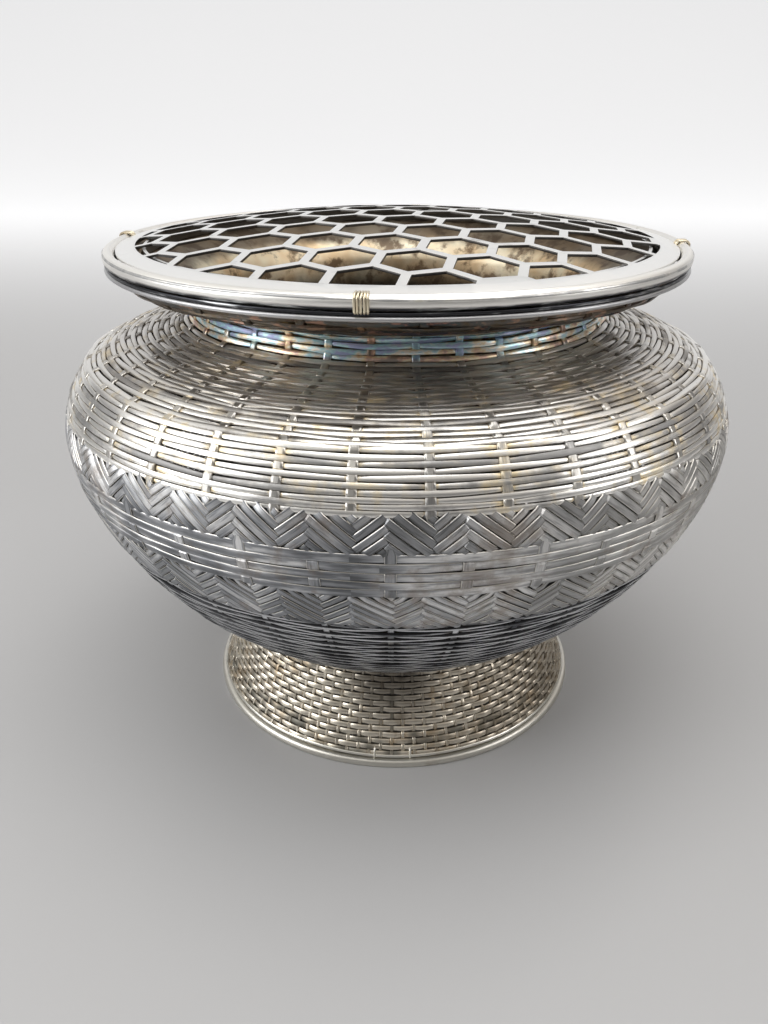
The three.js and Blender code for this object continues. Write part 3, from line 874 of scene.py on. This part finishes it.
def herringbone(strands, wall, bottom, top, peak, slope, thickness, strips=5):
    """Two families of flat strips that cross: each lies on top along its own legs."""
    middle = (bottom + top) / 2
    radius = float(wall.radius(middle))
    period = radius * 2 * math.pi / STAKES
    pitch = period / strips
    section = flat_strip(pitch * math.sin(slope) * 0.90, thickness)
    span = ((top - bottom) / 2 + HERRINGBONE_REACH) / math.tan(slope)
    for sign in (1, -1):
        for strip in range(STAKES * strips):
            centre = strip * pitch
            x = strip_places(centre, span, period, pitch)
            rising = rising_legs(x, period, pitch)
            over = rising if sign < 0 else 1 - rising
            along = middle + sign * (x - centre) * math.tan(slope)
            tuck = np.clip((np.abs(along - middle) - (top - bottom) / 2 + 0.5) / 1.5, 0, 1)
            out = HERRINGBONE_LEVEL + HERRINGBONE_SWING * over - HERRINGBONE_TUCK * tuck
            turn = math.radians(peak) + x / radius
            spots, normals = wall.place(along, turn, out)
            if sign < 0:
                spots, normals, over = spots[::-1], normals[::-1], over[::-1]
            roll = strands.random.normal(0, 0.09)
            strands.add(spots, normals, rolled(section, roll), dip=(1 - over) * 0.7)


def belt_rows(strands, wall, bottom, top, thickness):
    """Flat strips, over one stake and under the next, with flat stakes across them."""
    weave = Weave(wall, bottom, top, BELT_PITCH, STAKES, BELT_STAKE, BELT_WANDER)
    section = flat_strip(weave.pitch * 0.965, thickness)
    for row in range(weave.rows):
        weave.row(strands, row, section, 0.24, BELT_LEVEL, WIDE_OFFSETS, narrow=0.06)
    return weave


class HIBACHI_OT_upper_weave(bpy.types.Operator):
    """Weaves the shoulder and the neck, and sets their stakes"""

    bl_idname = "hibachi.upper_weave"
    bl_label = "Shoulder and neck"

    def execute(self, context):
        sizes, colours = context.scene.hibachi_weave, context.scene.hibachi_colours
        wall = basket_wall()
        start, end = wall.at_height(UPPER_HERRINGBONE_TOP), wall.length
        pitch, height = sizes.row_pitch / MM, sizes.row_height / MM
        weave = Weave(
            wall, start, end, pitch, STAKES, SHOULDER_STAKE, sizes.row_wander / MM, drift=0.25,
        )
        split = round((wall.at_height(NECK_START) - start) / weave.pitch)
        section = half_round(weave.pitch * 1.03, height)
        swing = sizes.row_swing / MM
        shoulder, neck, stakes = Strands(11), Strands(12), Strands(13)
        for row in range(weave.rows):
            weave.row(shoulder if row < split else neck, row, section, swing, LEVEL, WIDE_OFFSETS)
        for stake in range(STAKES):
            weave.stake(
                stakes, stake, sizes.stake_width / MM, sizes.stake_thickness / MM,
                high=0.62, low=-0.35, level=LEVEL, ends=(2.4, 0.0),
            )
        silver, dark = tuple(colours.silver), tuple(colours.brown)
        ivory, smudge = tuple(colours.ivory), tuple(colours.smudge)
        bright = strip_finish(
            "shoulder_silver", silver, ivory, smudge, dark,
            warmth=0.55, wear=0.5, zones=shoulder_shade_zones(colours),
        )
        throat = strip_finish(
            "throat_silver", silver, ivory, smudge, dark, warmth=0.6, wear=0.6, zones=throat_zones,
        )
        upright = strip_finish(
            "stake_silver", (0.66, 0.64, 0.60), ivory, smudge, dark,
            warmth=0.5, wear=0.6, zones=stake_zones(colours), unshaded=0.8,
        )
        settle(shoulder.build("shoulder_rows"), "basket", "woven_silver", bright, "shoulder_weave")
        settle(neck.build("neck_rows"), "basket", "brown_silver", throat, "neck_weave")
        settle(stakes.build("shoulder_stakes"), "basket", "woven_silver", upright)
        return {"FINISHED"}


class HIBACHI_OT_herringbones(bpy.types.Operator):
    """Lays the two herringbone bands"""

    bl_idname = "hibachi.herringbones"
    bl_label = "Herringbone bands"

    def execute(self, context):
        sizes, colours = context.scene.hibachi_weave, context.scene.hibachi_colours
        wall = basket_wall()
        gunmetal = tuple(colours.gunmetal)
        finish = flat_finish("herringbone_silver", gunmetal, (0.24, 0.18, 0.13), RUBBED_GLINT, GAP_SHADE)
        bands = (
            ("upper_herringbone", BELT_TOP, UPPER_HERRINGBONE_TOP, BELT_STAKE, 38),
            ("lower_herringbone", LOWER_HERRINGBONE_BOTTOM, BELT_BOTTOM, SHOULDER_STAKE, 37),
        )
        for seed, (node, bottom, top, peak, slope) in enumerate(bands):
            strands = Strands(21 + seed)
            herringbone(
                strands, wall, wall.at_height(bottom), wall.at_height(top), peak,
                math.radians(slope), sizes.flat_thickness / MM,
            )
            piece = strands.build(node + "_strips", 25)
            settle(piece, "basket", "oxidised_silver", finish, node)
        return {"FINISHED"}


class HIBACHI_OT_belt(bpy.types.Operator):
    """Lays the flat belt and its stakes"""

    bl_idname = "hibachi.belt"
    bl_label = "Belt"

    def execute(self, context):
        sizes, colours = context.scene.hibachi_weave, context.scene.hibachi_colours
        wall = basket_wall()
        strips, stakes = Strands(31), Strands(32)
        thickness = sizes.flat_thickness / MM
        weave = belt_rows(strips, wall, wall.at_height(BELT_BOTTOM), wall.at_height(BELT_TOP), thickness)
        for stake in range(STAKES):
            weave.stake(
                stakes, stake, width=3.7, thickness=thickness * 0.8,
                high=0.42, low=-0.75, level=BELT_LEVEL, ends=(0.0, 2.3),
            )
        gunmetal = tuple(colours.gunmetal)
        finish = flat_finish("belt_silver", gunmetal, (0.22, 0.17, 0.13), RUBBED_GLINT, GAP_SHADE)
        settle(strips.build("belt_strips", 25), "basket", "oxidised_silver", finish, "belt_weave")
        settle(stakes.build("belt_stakes", 25), "basket", "oxidised_silver", finish)
        return {"FINISHED"}


class HIBACHI_OT_underside(bpy.types.Operator):
    """Weaves the rows that turn in below the belly"""

    bl_idname = "hibachi.underside"
    bl_label = "Underside"

    def execute(self, context):
        sizes = context.scene.hibachi_weave
        wall = basket_wall()
        weave = Weave(
            wall, 0.0, wall.at_height(LOWER_HERRINGBONE_BOTTOM), sizes.row_pitch / MM,
            STAKES, BELT_STAKE, sizes.row_wander / MM,
        )
        rows, stakes = Strands(41), Strands(42)
        section = half_round(weave.pitch * 0.80, sizes.row_height / MM)
        for row in range(weave.rows):
            weave.row(rows, row, section, sizes.row_swing / MM, LEVEL, WIDE_OFFSETS)
        for stake in range(STAKES):
            weave.stake(
                stakes, stake, width=2.6, thickness=0.5, high=0.30, low=-0.45, level=LEVEL,
            )
        # Painted shade: the underside strips are dark and near black beyond a narrow bright crown, for
        # the shade under the belly and the dark floor they reflect
        finish = strip_finish(
            "underside_silver", (0.66, 0.67, 0.69), (0.38, 0.35, 0.30), (0.085, 0.09, 0.10),
            (0.012, 0.012, 0.014), warmth=0.3, wear=0.85, unshaded=0.28,
        )
        settle(rows.build("underside_rows"), "basket", "oxidised_silver", finish, "underside_weave")
        settle(stakes.build("underside_stakes"), "basket", "oxidised_silver", finish)
        return {"FINISHED"}


def strand_hoop(strands, radius, height, half_width, half_depth, count, wire, seed):
    """A hoop of wires that lie side by side round its section."""
    random = np.random.default_rng(seed)
    turn = full_turn()
    for number in range(count):
        phase = 2 * math.pi * number / count + 0.5
        slow = 0.10 * np.sin(2 * turn + random.uniform(0, 6))
        angle = phase + slow + 0.06 * np.sin(7 * turn + random.uniform(0, 6))
        out, up = np.cos(angle), np.sin(angle)
        spots = circle(turn, radius + out * half_width, height + up * half_depth)
        strands.add(spots, circle(turn, out, up), round_wire(wire), closed=True)


def tie_turn(strands, turn, offset, inner, outer, bottom, top, wire, corner=1.5, steps=28):
    """One turn of tie wire, round the hoop."""
    middle = ((inner + outer) / 2, (bottom + top) / 2)
    half = ((outer - inner) / 2 - corner, (top - bottom) / 2 - corner)
    path, normals = [], []
    for step in range(steps):
        angle = 2 * math.pi * step / steps
        cos, sin = math.cos(angle), math.sin(angle)
        across = middle[0] + math.copysign(half[0], cos) + corner * cos
        up = middle[1] + math.copysign(half[1], sin) + corner * sin
        path.append((across, up))
        normals.append((cos, sin))
    path, normals = np.array(path), np.array(normals)
    radial = np.array([math.cos(turn), math.sin(turn), 0.0])
    sideways = np.array([-math.sin(turn), math.cos(turn), 0.0])
    upright = np.array([0.0, 0.0, 1.0])
    lean = 0.18 * np.sin(np.arange(steps) * 2 * math.pi / steps + offset)
    spots = path[:, :1] * radial + path[:, 1:] * upright + (offset + lean)[:, None] * sideways
    outward = normals[:, :1] * radial + normals[:, 1:] * upright
    strands.add(spots, outward, round_wire(wire), closed=True)


class HIBACHI_OT_rim(bpy.types.Operator):
    """Lays the hoops of the mouth and ties them"""

    bl_idname = "hibachi.rim"
    bl_label = "Mouth rim"

    def execute(self, context):
        sizes, colours = context.scene.hibachi_rim, context.scene.hibachi_colours
        low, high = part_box("rim_outer_hoop")
        middle, depth, outer = (high.z + low.z) / 2 / MM, (high.z - low.z) / MM, high.x / MM
        self.outer_hoop(tuple(colours.silver), sizes.strand / MM / 2, middle, depth, outer)
        grey = sheet_finish("lower_hoop_silver", (0.50, 0.50, 0.51), (0.24, 0.23, 0.21))
        lower = spun("rim_lower_round", hoop_profile("rim_lower_hoop", LOWER_HOOP_WIDTH))
        settle(lower, "basket", "bright_silver", grey, "rim_lower_hoop")
        inner = spun("rim_inner_round", hoop_profile("rim_inner_hoop", INNER_HOOP_WIDTH))
        settle(inner, "basket", "bright_silver", grey, "rim_inner_hoop")
        self.ties(sizes.tie_wire / MM / 2, outer)
        return {"FINISHED"}

    def outer_hoop(self, silver, wire, middle, depth, outer):
        """A smooth core with strands round it, and one thin strand below."""
        radius, sunk = outer - OUTER_HOOP_WIDTH / 2, wire * 0.8
        zones = hoop_shade_zones(middle * MM)
        sheet = sheet_finish("hoop_silver", silver, (0.62, 0.60, 0.54), blotch=0.3, zones=zones)
        core = spun("rim_core", oval(radius, middle, OUTER_HOOP_WIDTH, depth, 24))
        settle(core, "basket", "bright_silver", sheet, "rim_outer_hoop")
        bundle = Strands(51)
        strand_hoop(
            bundle, radius, middle, OUTER_HOOP_WIDTH / 2 - sunk, depth / 2 - sunk, 5, wire, 51,
        )
        turn = full_turn()
        sway = 0.12 * np.sin(5 * turn) + 0.08 * np.sin(13 * turn + 1)
        below = middle - (depth / 2 + wire * 0.7)
        path = circle(turn, outer - 1.1 + sway, below + sway * 0.5)
        bundle.add(path, circle(turn, 1, 0 * turn), round_wire(sunk), closed=True, tone=0.4)
        rim = strip_finish(
            "rim_silver", silver, (0.74, 0.70, 0.60), (0.45, 0.45, 0.45), (0.30, 0.29, 0.27),
            warmth=0.3, wear=0.4, zones=zones, unshaded=0.9,
        )
        settle(bundle.build("rim_strands"), "basket", "bright_silver", rim)

    def ties(self, wire, outer):
        """Wire wound round the outer hoop in four places."""
        finish = strip_finish(
            "tie_wire", (0.80, 0.72, 0.55), (0.66, 0.50, 0.30), (0.45, 0.42, 0.36),
            (0.12, 0.085, 0.05), warmth=0.5, wear=0.3,
        )
        inner = outer - OUTER_HOOP_WIDTH - 0.25
        for tie in range(TIES):
            node = f"rim_tie_{tie + 1}"
            bottom, top = (corner.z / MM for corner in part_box(node))
            turn = math.radians(FIRST_TIE + 360 / TIES * tie)
            wires = Strands(61 + tie)
            for number in range(TIE_TURNS):
                offset = (number - (TIE_TURNS - 1) / 2) * TIE_TURN_STEP
                tie_turn(wires, turn, offset, inner, outer + FIT, bottom + wire, top - wire, wire)
            settle(wires.build(node + "_wire"), "basket", "silver_wire", finish, node)


def boolean(piece, cutter, operation):
    """Cuts a piece with another, which is then gone."""
    select_only(piece)
    cut = piece.modifiers.new("cut", "BOOLEAN")
    cut.operation, cut.solver, cut.object = operation, "EXACT", cutter
    bpy.ops.object.modifier_apply(modifier=cut.name)
    bpy.data.objects.remove(cutter)


def bevelled(piece, width, segments, angle):
    """Eases the edges sharper than an angle."""
    select_only(piece)
    bevel = piece.modifiers.new("ease", "BEVEL")
    bevel.width, bevel.segments, bevel.limit_method = width, segments, "ANGLE"
    bevel.angle_limit = math.radians(angle)
    bpy.ops.object.modifier_apply(modifier=bevel.name)


def honeycomb_cutters(sizes, opening):
    """Six-sided prisms for all the cells, cut off at the border and with eased corners."""
    turn = math.radians(LATTICE_TURN)
    pitch, bar = sizes.cell_pitch / MM, sizes.cell_bar / MM
    reach, row_step = (pitch - bar) / math.sqrt(3), pitch * math.sqrt(3) / 2
    deselect()
    bpy.ops.mesh.primitive_cylinder_add(
        vertices=6, radius=reach * MM, depth=0.02, rotation=(0, 0, turn),
    )
    cell = bpy.context.object
    bpy.ops.object.transform_apply(location=False, rotation=True, scale=False)
    rows = math.ceil(opening / row_step) + 1
    copies = []
    for row in range(-rows, rows + 1):
        for place in range(-rows, rows + 1):
            x, y = (place + (0.5 if row % 2 else 0)) * pitch, row * row_step
            middle = (
                x * math.cos(turn) - y * math.sin(turn) + LATTICE_SHIFT[0],
                x * math.sin(turn) + y * math.cos(turn) + LATTICE_SHIFT[1],
            )
            if math.hypot(*middle) > opening + reach * 0.72:
                continue
            mesh = cell.data.copy()
            mesh.transform(Matrix.Translation((middle[0] * MM, middle[1] * MM, 0)))
            copy = bpy.data.objects.new("cell", mesh)
            bpy.context.scene.collection.objects.link(copy)
            copies.append(copy)
    bpy.data.objects.remove(cell)
    select_only(*copies)
    bpy.ops.object.join()
    cutters = bpy.context.object
    deselect()
    bpy.ops.mesh.primitive_cylinder_add(vertices=180, radius=opening * MM, depth=0.014)
    boolean(cutters, bpy.context.object, "INTERSECT")
    bevelled(cutters, width=sizes.corner, segments=3, angle=25)
    return cutters


class HIBACHI_OT_lid(bpy.types.Operator):
    """Cuts the honeycomb lid, domes it and adds its locating ring"""

    bl_idname = "hibachi.lid"
    bl_label = "Lid"

    def execute(self, context):
        sizes, colours = context.scene.hibachi_lid, context.scene.hibachi_colours
        low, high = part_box("lid_lattice")
        radius = high.x / MM
        rise = (high.z - low.z - sizes.thickness) / MM
        cutters = honeycomb_cutters(sizes, radius - sizes.border / MM)
        deselect()
        bpy.ops.mesh.primitive_cylinder_add(vertices=180, radius=radius * MM, depth=sizes.thickness)
        sheet = bpy.context.object
        sheet.name = sheet.data.name = "lid_honeycomb"
        boolean(sheet, cutters, "DIFFERENCE")
        bpy.ops.object.mode_set(mode="EDIT")
        bpy.ops.mesh.select_all(action="SELECT")
        bpy.ops.mesh.quads_convert_to_tris(quad_method="BEAUTY", ngon_method="BEAUTY")
        bpy.ops.object.mode_set(mode="OBJECT")
        base = low.z + sizes.thickness / 2
        for vertex in sheet.data.vertices:
            share = math.hypot(vertex.co.x, vertex.co.y) / MM / radius
            vertex.co.z += base + rise * (1 - share**2) * MM
        bevelled(sheet, width=0.0002, segments=2, angle=45)
        bpy.ops.object.shade_smooth_by_angle(angle=math.radians(30))
        zones = lid_zones((radius - sizes.border / MM) * MM)
        finish = sheet_finish(
            "lid_satin", tuple(colours.lid), (0.44, 0.435, 0.42),
            grain=1.0, roughness=0.27, blotch=0.3, zones=zones,
        )
        settle(sheet, "lid", "lid_silver", finish, "lid_lattice")
        ring_low, ring_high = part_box("lid_locating_ring")
        outer, bottom, top = ring_high.x / MM, ring_low.z / MM, ring_high.z / MM
        inner, ease = outer - LOCATING_RING_THICKNESS, 0.3
        ring = spun("lid_ring", [
            (outer, bottom + ease), (outer, top), (inner, top), (inner, bottom + ease),
            (inner + ease, bottom), (outer - ease, bottom),
        ])
        settle(ring, "lid", "lid_silver", finish, "lid_locating_ring")
        return {"FINISHED"}


class HIBACHI_OT_liner(bpy.types.Operator):
    """Spins the liner pot and its wired rim"""

    bl_idname = "hibachi.liner"
    bl_label = "Liner pot"

    def execute(self, context):
        colours = context.scene.hibachi_colours
        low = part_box("liner_floor")[0].z / MM
        wire_low, wire_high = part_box("liner_rim_wire")
        wire = (wire_high.z - wire_low.z) / MM
        wire_height = (wire_high.z + wire_low.z) / 2 / MM
        lip = wire_high.x / MM - wire - FIT
        side = THROAT[0] - NECK_WALL - LINER_PLAY
        outside = [(0.0, low)]
        for step in range(LINER_CORNER_STEPS + 1):
            angle = step * math.pi / 2 / LINER_CORNER_STEPS
            outside.append((
                side - LINER_CORNER + math.sin(angle) * LINER_CORNER,
                low + LINER_CORNER - math.cos(angle) * LINER_CORNER,
            ))
        outside += [(side + out, THROAT[1] + up) for out, up in LINER_FLARE]
        outside += [(lip - 0.5, THROAT[1] + 16.2), (lip, wire_height)]
        inside = []
        for index, (radius, height) in enumerate(outside):
            lift = LINER_WALL if index <= LINER_CORNER_STEPS else LINER_WALL / 2
            inside.append((max(radius - LINER_WALL, 0.0), height + lift))
        inside[-1] = (lip - LINER_WALL, wire_height)
        finish = pot_finish(colours)
        pot = spun("liner_bowl", outside + inside[::-1], 144, 50)
        settle(pot, "liner", "liner_metal", finish, "liner_floor", "liner_pot")
        bead = spun("liner_bead", hoop_profile("liner_rim_wire", wire))
        settle(bead, "liner", "liner_metal", finish, "liner_rim_wire")
        return {"FINISHED"}


class HIBACHI_OT_foot(bpy.types.Operator):
    """Weaves the foot, and adds its hoops, the collar and the base"""

    bl_idname = "hibachi.foot"
    bl_label = "Foot and base"

    def execute(self, context):
        sizes, colours = context.scene.hibachi_weave, context.scene.hibachi_colours
        wall = foot_wall()
        self.weave(wall, sizes.foot_pitch / MM, tuple(colours.champagne))
        self.edging(wall)
        self.hoops()
        self.base()
        return {"FINISHED"}

    def weave(self, wall, pitch, champagne):
        """Fine rows, with three uprights for each stake of the basket."""
        stakes = 3 * STAKES
        weave = Weave(wall, 0.4, wall.length - 0.2, pitch, stakes, BELT_STAKE, 0.14)
        rows, uprights = Strands(71), Strands(72)
        section = half_round(weave.pitch * 0.95, 1.1)
        for row in range(weave.rows):
            weave.row(rows, row, section, 0.42, FOOT_LEVEL, FOOT_OFFSETS, narrow=0.14)
        for stake in range(stakes):
            weave.stake(
                uprights, stake, width=1.7, thickness=0.5, high=0.7, low=-0.4, level=FOOT_LEVEL,
            )
        finish = strip_finish(
            "foot_silver", champagne, (0.46, 0.36, 0.24), (0.22, 0.21, 0.18), FOOT_DARK,
            warmth=0.6, wear=0.6, zones=foot_zones,
        )
        settle(rows.build("foot_rows"), "basket", "foot_silver", finish, "foot_weave")
        settle(uprights.build("foot_stakes"), "basket", "foot_silver", finish)

    def edging(self, wall):
        """A thin strip just above the hoop, with staples across it."""
        strands = Strands(73)
        turn = full_turn()
        spots, normals = wall.place(0.9 + 0.12 * np.sin(9 * turn), turn, np.full_like(turn, 0.15))
        strands.add(spots, normals, half_round(1.3, 0.7), closed=True, tone=0.5)
        along, out = np.array(STAPLE_PATH).T
        for angle in STAPLES:
            spots, normals = wall.place(along, np.full_like(along, math.radians(angle)), out)
            strands.add(spots, normals, round_wire(0.4), tone=0.5)
        finish = strip_finish(
            "edging_silver", (0.86, 0.84, 0.77), (0.62, 0.54, 0.42), (0.38, 0.37, 0.35), FOOT_DARK,
            warmth=0.4, wear=0.4,
        )
        settle(strands.build("foot_edging"), "basket", "foot_silver", finish)

    def hoops(self):
        """The hoop that the foot stands on, and the one inside it."""
        pale = sheet_finish("foot_hoop_silver", (0.70, 0.68, 0.62), (0.46, 0.42, 0.35))
        outer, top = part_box("foot_hoop")[1].x / MM, FOOT_HOOP_DEPTH
        hoop = spun("foot_hoop_round", [
            (outer - 0.9, 0.0), (outer - 0.35, 0.25), (outer - 0.08, 0.8), (outer, 1.5),
            (outer - 0.12, 2.3), (outer - 0.5, 2.95), (outer - 1.2, top),
            (outer - 3.2, top), (outer - 3.7, 2.9), (outer - 3.8, 0.8), (outer - 3.0, 0.0),
        ])
        settle(hoop, "basket", "bright_silver", pale, "foot_hoop")
        inner = spun("foot_inner_round", hoop_profile("foot_inner_hoop", FOOT_INNER_HOOP, 12))
        settle(inner, "basket", "bright_silver", pale, "foot_inner_hoop")

    def base(self):
        """The collar between foot and belly, and the disc that the liner stands on."""
        grey = sheet_finish(
            "base_silver", (0.42, 0.42, 0.42), (0.24, 0.20, 0.16), grain=2.0, roughness=0.36,
        )
        low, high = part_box("foot_collar")
        reach, bottom, top = high.x / MM, low.z / MM, high.z / MM
        ease, inner = 0.5, reach - COLLAR_WIDTH
        collar = spun("foot_collar_ring", [
            (reach, bottom + ease), (reach, top - ease), (reach - ease, top), (inner, top),
            (inner, bottom), (reach - ease, bottom),
        ])
        settle(collar, "basket", "bright_silver", grey, "foot_collar")
        low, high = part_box("basket_base")
        reach, bottom, top = high.x / MM, low.z / MM, high.z / MM
        ease = 0.4
        base = spun("base_disc", [
            (0.0, bottom), (reach - ease, bottom), (reach, bottom + ease), (reach, top - ease),
            (reach - ease, top), (0.0, top),
        ])
        settle(base, "basket", "oxidised_silver", grey, "basket_base")


class HIBACHI_OT_stage(bpy.types.Operator):
    """Sets the floor, the light and the camera"""

    bl_idname = "hibachi.stage"
    bl_label = "Stage"

    def execute(self, context):
        settings = context.scene.hibachi_stage
        self.floor(settings)
        self.world(context)
        self.lamps(context, settings)
        self.camera(context)
        context.scene.view_settings.view_transform = "Standard"
        return {"FINISHED"}

    def lamps(self, context, settings):
        """One lamp overhead and one at each side, the left one larger and stronger."""
        for name, place, aim, size, power in (
            ("key", (0.1, -0.15, 1.2), (0, 0, 0.15), (1.3, 0.8), settings.key),
            ("left", (-0.95, -0.35, 0.55), (0, 0, 0.13), (0.7, 0.8), settings.fill * 2.6),
            ("right", (0.95, -0.35, 0.6), (0, 0, 0.14), (0.4, 0.6), settings.fill),
        ):
            lamp = bpy.data.lights.new(name, "AREA")
            lamp.shape, lamp.size, lamp.size_y, lamp.energy = "RECTANGLE", *size, power
            holder = bpy.data.objects.new(name, lamp)
            context.scene.collection.objects.link(holder)
            holder.location = place
            holder.rotation_euler = (Vector(aim) - Vector(place)).to_track_quat("-Z", "Y").to_euler()

    def floor(self, settings):
        """A floor that sweeps up into a backdrop."""
        deselect()
        bpy.ops.mesh.primitive_plane_add(size=FLOOR_SIZE)
        sweep = bpy.context.object
        sweep.name = sweep.data.name = "floor"
        bpy.ops.object.mode_set(mode="EDIT")
        bpy.ops.mesh.select_all(action="DESELECT")
        bpy.ops.object.mode_set(mode="OBJECT")
        back = FLOOR_SIZE / 2 - 0.1
        for edge in sweep.data.edges:
            edge.select = all(sweep.data.vertices[v].co.y > back for v in edge.vertices)
        bpy.ops.object.mode_set(mode="EDIT")
        bpy.ops.mesh.select_mode(type="EDGE")
        bpy.ops.mesh.extrude_region_move(TRANSFORM_OT_translate={"value": (0, 0, BACKDROP_HEIGHT)})
        bpy.ops.object.mode_set(mode="OBJECT")
        bevelled(sweep, width=BACKDROP_BEND, segments=16, angle=30)
        bpy.ops.object.shade_smooth()
        f = Finish("floor")
        clouds, grain = f.noise(700, 2), f.noise(3, 2)
        base = tuple(settings.floor)
        look = f.mix(f.smooth(clouds, 0.3, 0.7) * 0.12, base, tuple(c * 0.9 for c in base))
        ray = f.node("ShaderNodeLightPath")
        seen = f.out(ray, "Is Camera Ray") + f.out(ray, "Is Glossy Ray")
        wall = f.smooth(f.part_of(f.place, "Y"), 0.2, 1.9) * seen
        glow = f.mix(wall, (0, 0, 0), (0.62, 0.625, 0.635))
        f.fill(f.surface.inputs["Emission Color"], glow)
        f.surface.inputs["Emission Strength"].default_value = 1.0
        sweep.data.materials.append(f.close(look, 0.34 + grain * 0.1, 0.0, grain, 0.05, 0.1))

    def world(self, context):
        """A soft studio: bright overhead, dark at the horizon, cool at the left and warm at the right."""
        world = bpy.data.worlds.new("studio")
        context.scene.world = world
        sky = Tree(world)
        direction = sky.out(sky.node("ShaderNodeTexCoord"), "Generated")
        light = sky.ramp(sky.part_of(direction, "Z"), [
            (0.0, (0.10, 0.10, 0.11)), (0.25, (0.15, 0.15, 0.16)), (0.45, (0.46, 0.46, 0.47)),
            (0.6, (0.92, 0.92, 0.93)), (0.8, (0.42, 0.42, 0.44)), (1.0, (1.0, 1.0, 1.0)),
        ])
        back = sky.smooth(sky.part_of(direction, "Y"), -0.7, 0.5)
        light = sky.mix(1.0, light, sky.mix(back, (0.75, 0.75, 0.75), (1.0, 1.0, 1.0)), "MULTIPLY")
        side = sky.smooth(sky.part_of(direction, "X"), -0.8, 0.8)
        light = sky.mix(1.0, light, sky.mix(side, (1.12, 1.10, 1.04), (0.96, 0.90, 0.82)), "MULTIPLY")
        shine = sky.out(sky.node("ShaderNodeBackground", None, {"Color": light, "Strength": 1.05}))
        sky.node("ShaderNodeOutputWorld", None, {"Surface": shine})

    def camera(self, context):
        """The photograph's viewing angle."""
        lens = bpy.data.cameras.new("camera")
        lens.sensor_fit, lens.sensor_height, lens.lens = "VERTICAL", 36.0, CAMERA_LENS
        lens.clip_start = 0.02
        camera = bpy.data.objects.new("camera", lens)
        context.scene.collection.objects.link(camera)
        camera.location = CAMERA_PLACE
        camera.rotation_euler = (math.radians(CAMERA_TILT), 0, math.radians(CAMERA_TURN))
        context.scene.camera = camera


GROUPS = {
    "hibachi_weave": HibachiWeave,
    "hibachi_rim": HibachiRim,
    "hibachi_lid": HibachiLid,
    "hibachi_colours": HibachiColours,
    "hibachi_stage": HibachiStage,
}
OPERATORS = (
    HIBACHI_OT_upper_weave, HIBACHI_OT_herringbones, HIBACHI_OT_belt, HIBACHI_OT_underside,
    HIBACHI_OT_rim, HIBACHI_OT_lid, HIBACHI_OT_liner, HIBACHI_OT_foot, HIBACHI_OT_stage,
)


class HIBACHI_PT_panel(bpy.types.Panel):
    """Lists the sizes, the colours and the steps"""

    bl_label = "Woven hibachi"
    bl_idname = "HIBACHI_PT_panel"
    bl_space_type = "VIEW_3D"
    bl_region_type = "UI"
    bl_category = "Hibachi"

    def draw(self, context):
        for title in GROUPS:
            box = self.layout.box()
            settings = getattr(context.scene, title)
            for key in settings.__annotations__:
                box.prop(settings, key)
        for operator in OPERATORS:
            self.layout.operator(operator.bl_idname)


def register():
    """Makes the settings, the steps and the panel known."""
    for title, group in GROUPS.items():
        bpy.utils.register_class(group)
        setattr(bpy.types.Scene, title, bpy.props.PointerProperty(type=group))
    for operator in OPERATORS:
        bpy.utils.register_class(operator)
    bpy.utils.register_class(HIBACHI_PT_panel)


def unregister():
    """Takes them away again."""
    bpy.utils.unregister_class(HIBACHI_PT_panel)
    for operator in reversed(OPERATORS):
        bpy.utils.unregister_class(operator)
    for title, group in reversed(list(GROUPS.items())):
        delattr(bpy.types.Scene, title)
        bpy.utils.unregister_class(group)


def main():
    """Builds the whole hibachi."""
    register()
    for operator in OPERATORS:
        group, name = operator.bl_idname.split(".")
        getattr(getattr(bpy.ops, group), name)()


if __name__ == "__main__":
    main()
